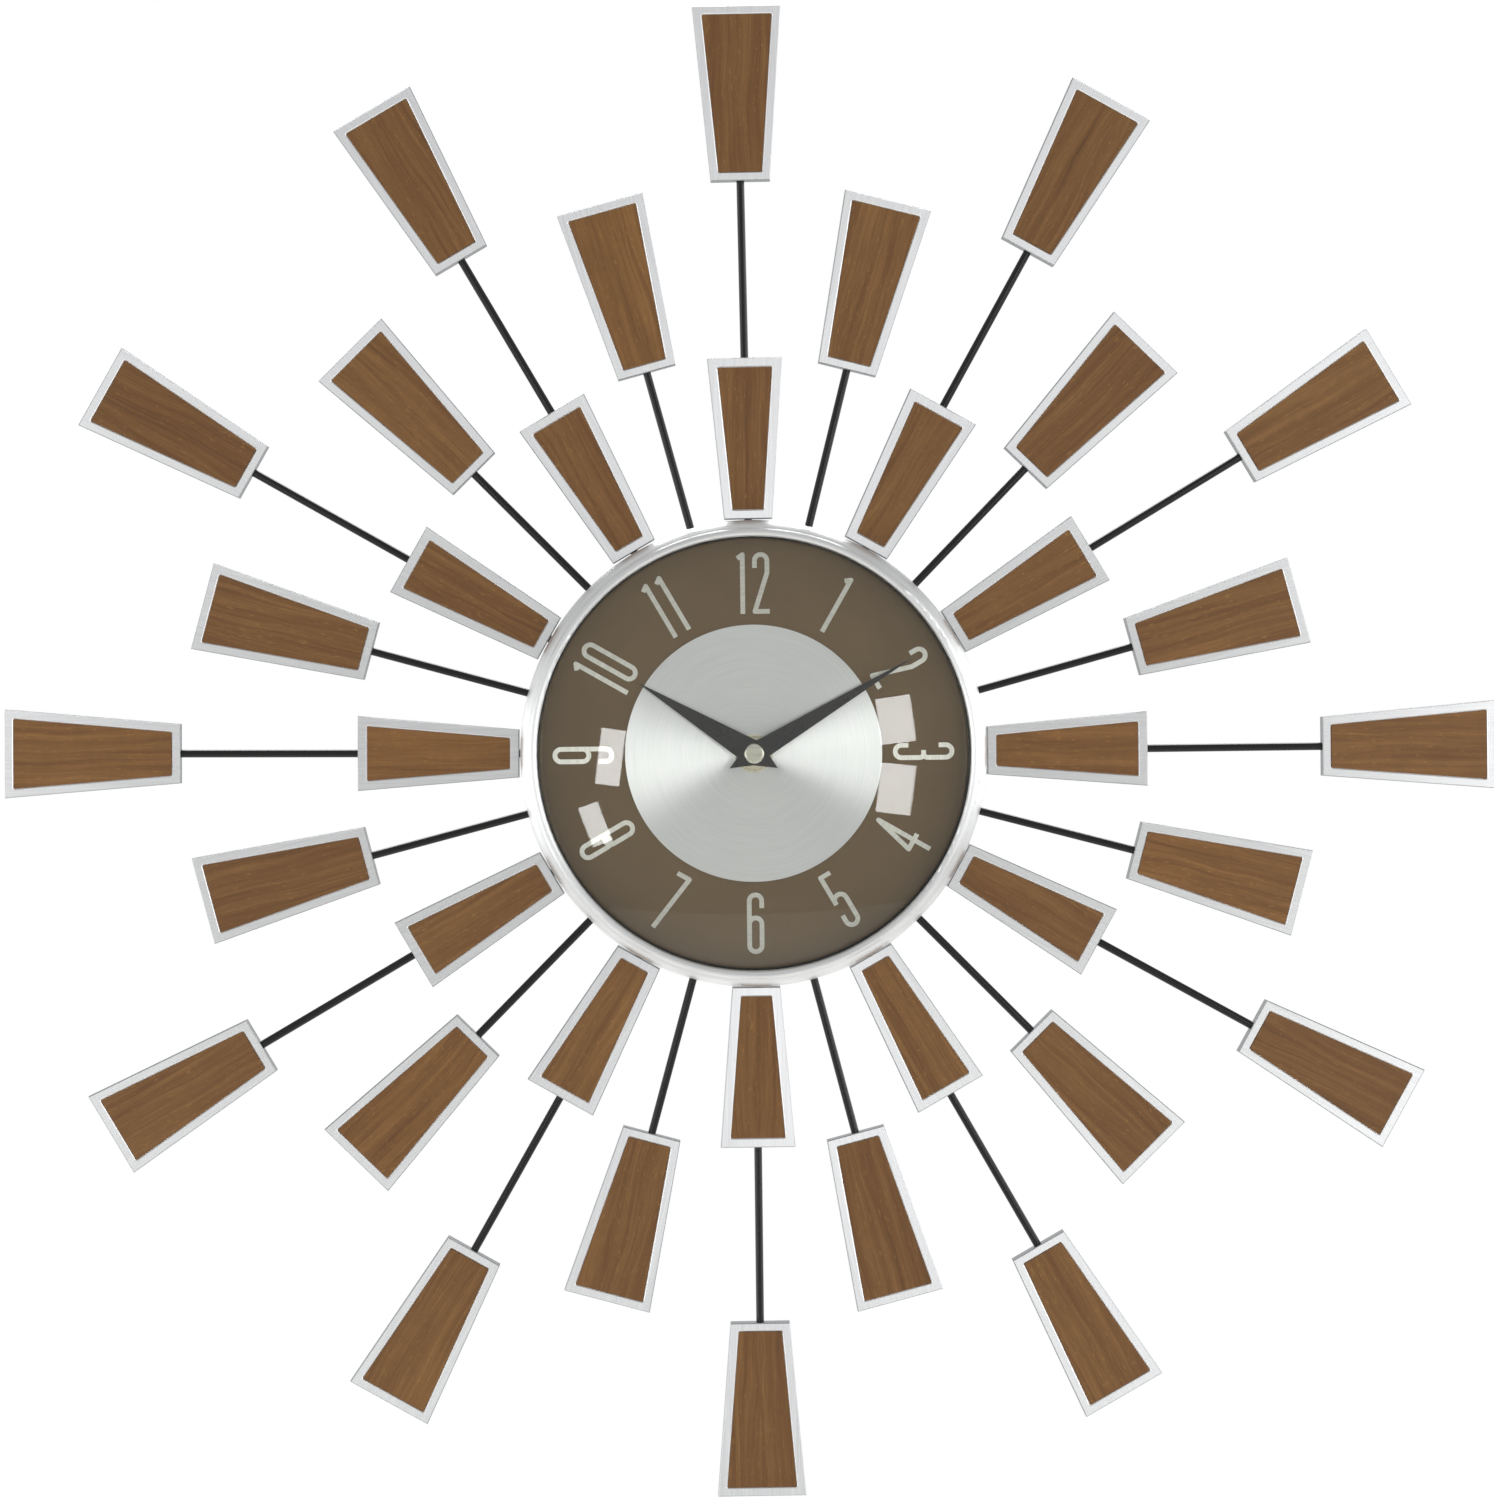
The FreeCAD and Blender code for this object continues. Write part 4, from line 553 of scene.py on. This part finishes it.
def hand_lacquer():
    """Gloss black lacquer on stamped steel hands, slightly uneven, with a painted highlight on their edges.
    """
    f = Finish("hand_lacquer")
    here = f.vector(*f.place())
    haze = f.noise(here, scale=0.12, detail=3.0)
    peel = f.noise(here, scale=1.8, detail=2.0)
    tone = f.mix(f.vary(haze), linear(17, 16, 14), linear(26, 25, 21))
    # A painted highlight on the hands' edges, in a pale grey.
    tone = f.part_mix(f.edge(0.22, 5.0), 0.6, tone, linear(120, 118, 108))
    f.set(Base_Color=tone, Roughness=f.vary(haze, 0.24, 0.34), Specular_IOR_Level=0.3)
    f.set(Normal=f.bump(peel, 0.012, 0.35, f.rounded(0.2)))
    return f.material


def pale_floor():
    """An almost white floor with faint clouds and grain."""
    f = Finish("pale_floor")
    here = f.vector(*f.place())
    cloud = f.noise(here, scale=0.002, detail=3.0)
    grain = f.noise(here, scale=0.2, detail=3.0)
    f.set(Base_Color=f.mix(cloud, linear(243, 242, 240), linear(248, 247, 245)), Roughness=0.75)
    f.set(Specular_IOR_Level=0.2, Normal=f.bump(grain, 0.2, 0.2))
    return f.material


# Dark, middle and light tones of the spun metals.
BEZEL_TONES = (linear(206, 207, 207), linear(222, 223, 223), linear(238, 239, 239))
DISC_TONES = (linear(222, 224, 222), linear(229, 230, 228), linear(236, 237, 235))
FOIL_TONES = (linear(196, 195, 184), linear(216, 215, 204), linear(236, 235, 228))

WHITE_PLASTIC = moulded_plastic(
    "white_plastic", linear(206, 203, 194), linear(220, 217, 208), 0.38, 0.3, 0.15
)
BLACK_PLASTIC = moulded_plastic("black_plastic", linear(24, 24, 25), linear(33, 33, 34), 0.44)
ZINC = plated("zinc_plated_steel", linear(160, 163, 166), linear(206, 208, 210), 0.34)
NICKEL = plated(
    "nickel_plate", linear(190, 188, 172), linear(222, 220, 204), 0.22, 0.4, linear(150, 140, 112), 0.2
)
BRASS = plated(
    "turned_brass", linear(204, 196, 170), linear(226, 220, 196), 0.26, 0.3, linear(160, 146, 112), 0.2
)

FINISHES = {
    "long_spokes": gloss_black_rods(),
    "outer_blade_frames": brushed_blades("brushed_outer_blades", 0.0, OUTER_BLADE_MIDDLE),
    "middle_blade_frames": brushed_blades("brushed_middle_blades", MIDDLE_RING_TURN, MIDDLE_BLADE_MIDDLE),
    "inner_blade_frames": brushed_blades("brushed_inner_blades", 0.0, INNER_BLADE_MIDDLE),
    "outer_blade_panels": walnut("walnut_even", 0.0),
    "middle_blade_panels": walnut("walnut_odd", MIDDLE_RING_TURN),
    "rear_drum": satin_black_coat(),
    "case_ring": BLACK_PLASTIC,
    "clamp_screws": ZINC,
    "dial_plate": taupe_dial(),
    "centre_disc": spun("brushed_centre_disc", *DISC_TONES, 0.32, 0.97, 0.003),
    "hour_numerals": spun("silver_numeral_foil", *FOIL_TONES, 0.38, 0.85, 0.004),
    "lens_gasket": rubber(),
    "lens": clear_glass(),
    "bezel": spun("spun_bezel", *BEZEL_TONES, 0.38, 0.7, 0.008),
    "battery": cell_jacket(),
    "positive_contact": NICKEL,
    "coil_winding": copper_winding(),
    "rotor_magnet": plated("sintered_magnet", linear(70, 70, 74), linear(104, 104, 108), 0.36, 0.15),
    "circuit_board": printed_board(),
    "hour_hand": hand_lacquer(),
    "brass_washer": BRASS,
    "seconds_wheel": WHITE_PLASTIC,
}
SAME_AS = {
    "short_spokes": "long_spokes",
    "inner_blade_panels": "outer_blade_panels",
    "rear_clamp_ring": "rear_drum",
    "movement_front_case": "case_ring",
    "movement_rear_cover": "case_ring",
    "setting_knob": "case_ring",
    "driver_chip": "case_ring",
    "hanger_plate": "clamp_screws",
    "hanger_rivets": "clamp_screws",
    "stator": "clamp_screws",
    "negative_contact": "positive_contact",
    "quartz_crystal": "positive_contact",
    "hand_cap_nut": "positive_contact",
    "rotor_axle": "seconds_wheel",
    "coil_bobbin": "seconds_wheel",
    "intermediate_wheel": "seconds_wheel",
    "third_wheel": "seconds_wheel",
    "centre_wheel": "seconds_wheel",
    "minute_wheel": "seconds_wheel",
    "hour_wheel": "seconds_wheel",
    "minute_arbor": "brass_washer",
    "fixing_nut": "brass_washer",
    "rubber_washer": "lens_gasket",
    "minute_hand": "hour_hand",
}

for node_name, node in frame["nodes"].items():
    finish = FINISHES[SAME_AS.get(node_name, node_name)]
    for slot_index in range(len(node.data.materials)):
        node.data.materials[slot_index] = finish

# ---------------------------------------------------------------- floor, world and light

FLOOR_DROP = 0.9  # the floor lies this far below the lowest blade
FLOOR_HALF = 2.4


def floor():
    lowest = CAD_BOUNDS[0].z - FLOOR_DROP
    near, far = -FLOOR_HALF, FLOOR_HALF
    corners = [(near, near, lowest), (far, near, lowest), (far, far, lowest), (near, far, lowest)]
    mesh = bpy.data.meshes.new("floor")
    mesh.from_pydata(corners, [], [(0, 1, 2, 3)])
    mesh.materials.append(pale_floor())
    made = bpy.data.objects.new("floor", mesh)
    bpy.context.scene.collection.objects.link(made)


WORLD_BACKGROUND = 1.0  # the backdrop as the camera sees it
WORLD_LIGHT = 0.63  # the room that the parts reflect
LEFT_LIGHT, RIGHT_LIGHT = 1.9, 2.6  # added by the bright walls to the left and right
SIDE_FROM, SIDE_FULL = 0.62, 0.85  # how far sideways a direction points where that begins and is full
SIDE_HALF_HEIGHT = 0.32  # and how far up or down it points where that has faded to 1 / e
SIDE_SLOPE = 0.09  # the left wall's light lies lower than the right wall's
SIDE_CHANGE = 0.1  # within this of straight ahead, one wall's strength turns into the other's


def world():
    made = bpy.data.worlds.new("studio")
    bpy.context.scene.world = made
    n = Nodes(made)
    direction = n.node("ShaderNodeSeparateXYZ")
    n.feed(direction.inputs[0], n.node("ShaderNodeTexCoord").outputs["Generated"])
    x, z = direction.outputs["X"], direction.outputs["Z"]
    sideways = n.spread(n.math("ABSOLUTE", x), SIDE_FROM, SIDE_FULL)
    height = n.math("DIVIDE", n.math("SUBTRACT", z, n.math("MULTIPLY", x, SIDE_SLOPE)), SIDE_HALF_HEIGHT)
    fade = n.math("POWER", 1 / math.e, n.math("MULTIPLY", height, height))
    strength = n.spread(x, -SIDE_CHANGE, SIDE_CHANGE, LEFT_LIGHT, RIGHT_LIGHT)
    wall = n.math("MULTIPLY", n.math("MULTIPLY", sideways, fade), strength)
    room = n.node("ShaderNodeBackground")
    n.feed(room.inputs["Strength"], n.math("ADD", WORLD_LIGHT, wall))
    backdrop = n.node("ShaderNodeBackground")
    n.feed(backdrop.inputs["Strength"], WORLD_BACKGROUND)
    for shader in (room, backdrop):
        n.feed(shader.inputs["Color"], (1, 1, 1, 1))
    blend = n.node("ShaderNodeMixShader")
    n.feed(blend.inputs[0], n.node("ShaderNodeLightPath").outputs["Is Camera Ray"])
    n.feed(blend.inputs[1], room.outputs[0])
    n.feed(blend.inputs[2], backdrop.outputs[0])
    n.feed(n.node("ShaderNodeOutputWorld").inputs["Surface"], blend.outputs[0])


PANEL_DISTANCE = 2.2  # from the glass to each panel
WATTS_PER_RADIANCE = 4.0  # of a square metre of area light
# Each panel's radiance, then its azimuth to the right of the front, elevation, width, height and lean in
# degrees.
PANELS = {
    "window_right_upper": (6.6, 24.8, 4.1, 5.8, 7.4, 6.0),
    "window_right_lower": (6.6, 24.8, -6.9, 5.8, 7.9, -6.0),
    "window_left_upper": (6.6, -22.2, -1.3, 4.0, 9.0, -8.0),
    "window_left_lower": (6.6, -25.2, -12.0, 3.4, 6.6, 18.0),
    "softbox_behind": (6.0, 180.0, 58.0, 50.0, 40.0, 0.0),
}


def panel_light(name, radiance, azimuth, elevation, wide, tall, lean):
    """A rectangular light facing the glass."""
    low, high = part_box("lens")
    target = Vector(((low.x + high.x) / 2, low.y, (low.z + high.z) / 2))
    turn, rise = math.radians(azimuth), math.radians(elevation)
    away = Vector((math.sin(turn) * math.cos(rise), -math.cos(turn) * math.cos(rise), math.sin(rise)))
    data = bpy.data.lights.new(name, "AREA")
    data.shape = "RECTANGLE"
    data.size = 2 * PANEL_DISTANCE * math.tan(math.radians(wide / 2))
    data.size_y = 2 * PANEL_DISTANCE * math.tan(math.radians(tall / 2))
    data.energy = radiance * WATTS_PER_RADIANCE * data.size * data.size_y
    made = bpy.data.objects.new(name, data)
    made.location = target + away * PANEL_DISTANCE
    made.rotation_mode = "QUATERNION"
    made.rotation_quaternion = (-away).to_track_quat("-Z", "Y") @ Quaternion((0, 0, 1), math.radians(lean))
    made.visible_camera = False
    bpy.context.scene.collection.objects.link(made)


# ---------------------------------------------------------------- camera

CAMERA_DISTANCE = 1.499  # from the front of the blades
CAMERA_X = -0.0386
CAMERA_Z = 0.0275
CAMERA_YAW = 1.371  # degrees, to the right
CAMERA_PITCH = 0.998  # degrees, downwards
CAMERA_ROLL = -0.675  # degrees
CAMERA_LENS = 88.0  # millimetres, as the sensor
CAMERA_SENSOR = 36.0
CAMERA_CLIP = (0.05, 50.0)


def camera():
    data = bpy.data.cameras.new("camera")
    data.lens = CAMERA_LENS
    data.sensor_width = CAMERA_SENSOR
    data.clip_start, data.clip_end = CAMERA_CLIP
    data.dof.use_dof = False
    made = bpy.data.objects.new("camera", data)
    bpy.context.scene.collection.objects.link(made)
    yaw = Matrix.Rotation(math.radians(CAMERA_YAW), 3, "Z")
    pitch = Matrix.Rotation(math.radians(CAMERA_PITCH), 3, "X")
    roll = Matrix.Rotation(math.radians(CAMERA_ROLL), 3, "Y")
    right, forward, up = (roll @ pitch @ yaw).row
    placed = Matrix((right, up, -forward)).transposed().to_4x4()
    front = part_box("outer_blade_frames")[0].y
    placed.translation = Vector((CAMERA_X, front - CAMERA_DISTANCE, CAMERA_Z))
    made.matrix_world = placed
    bpy.context.scene.camera = made


floor()
world()
for panel_name, panel in PANELS.items():
    panel_light(panel_name, *panel)
camera()
bpy.context.scene.view_settings.view_transform = "Standard"
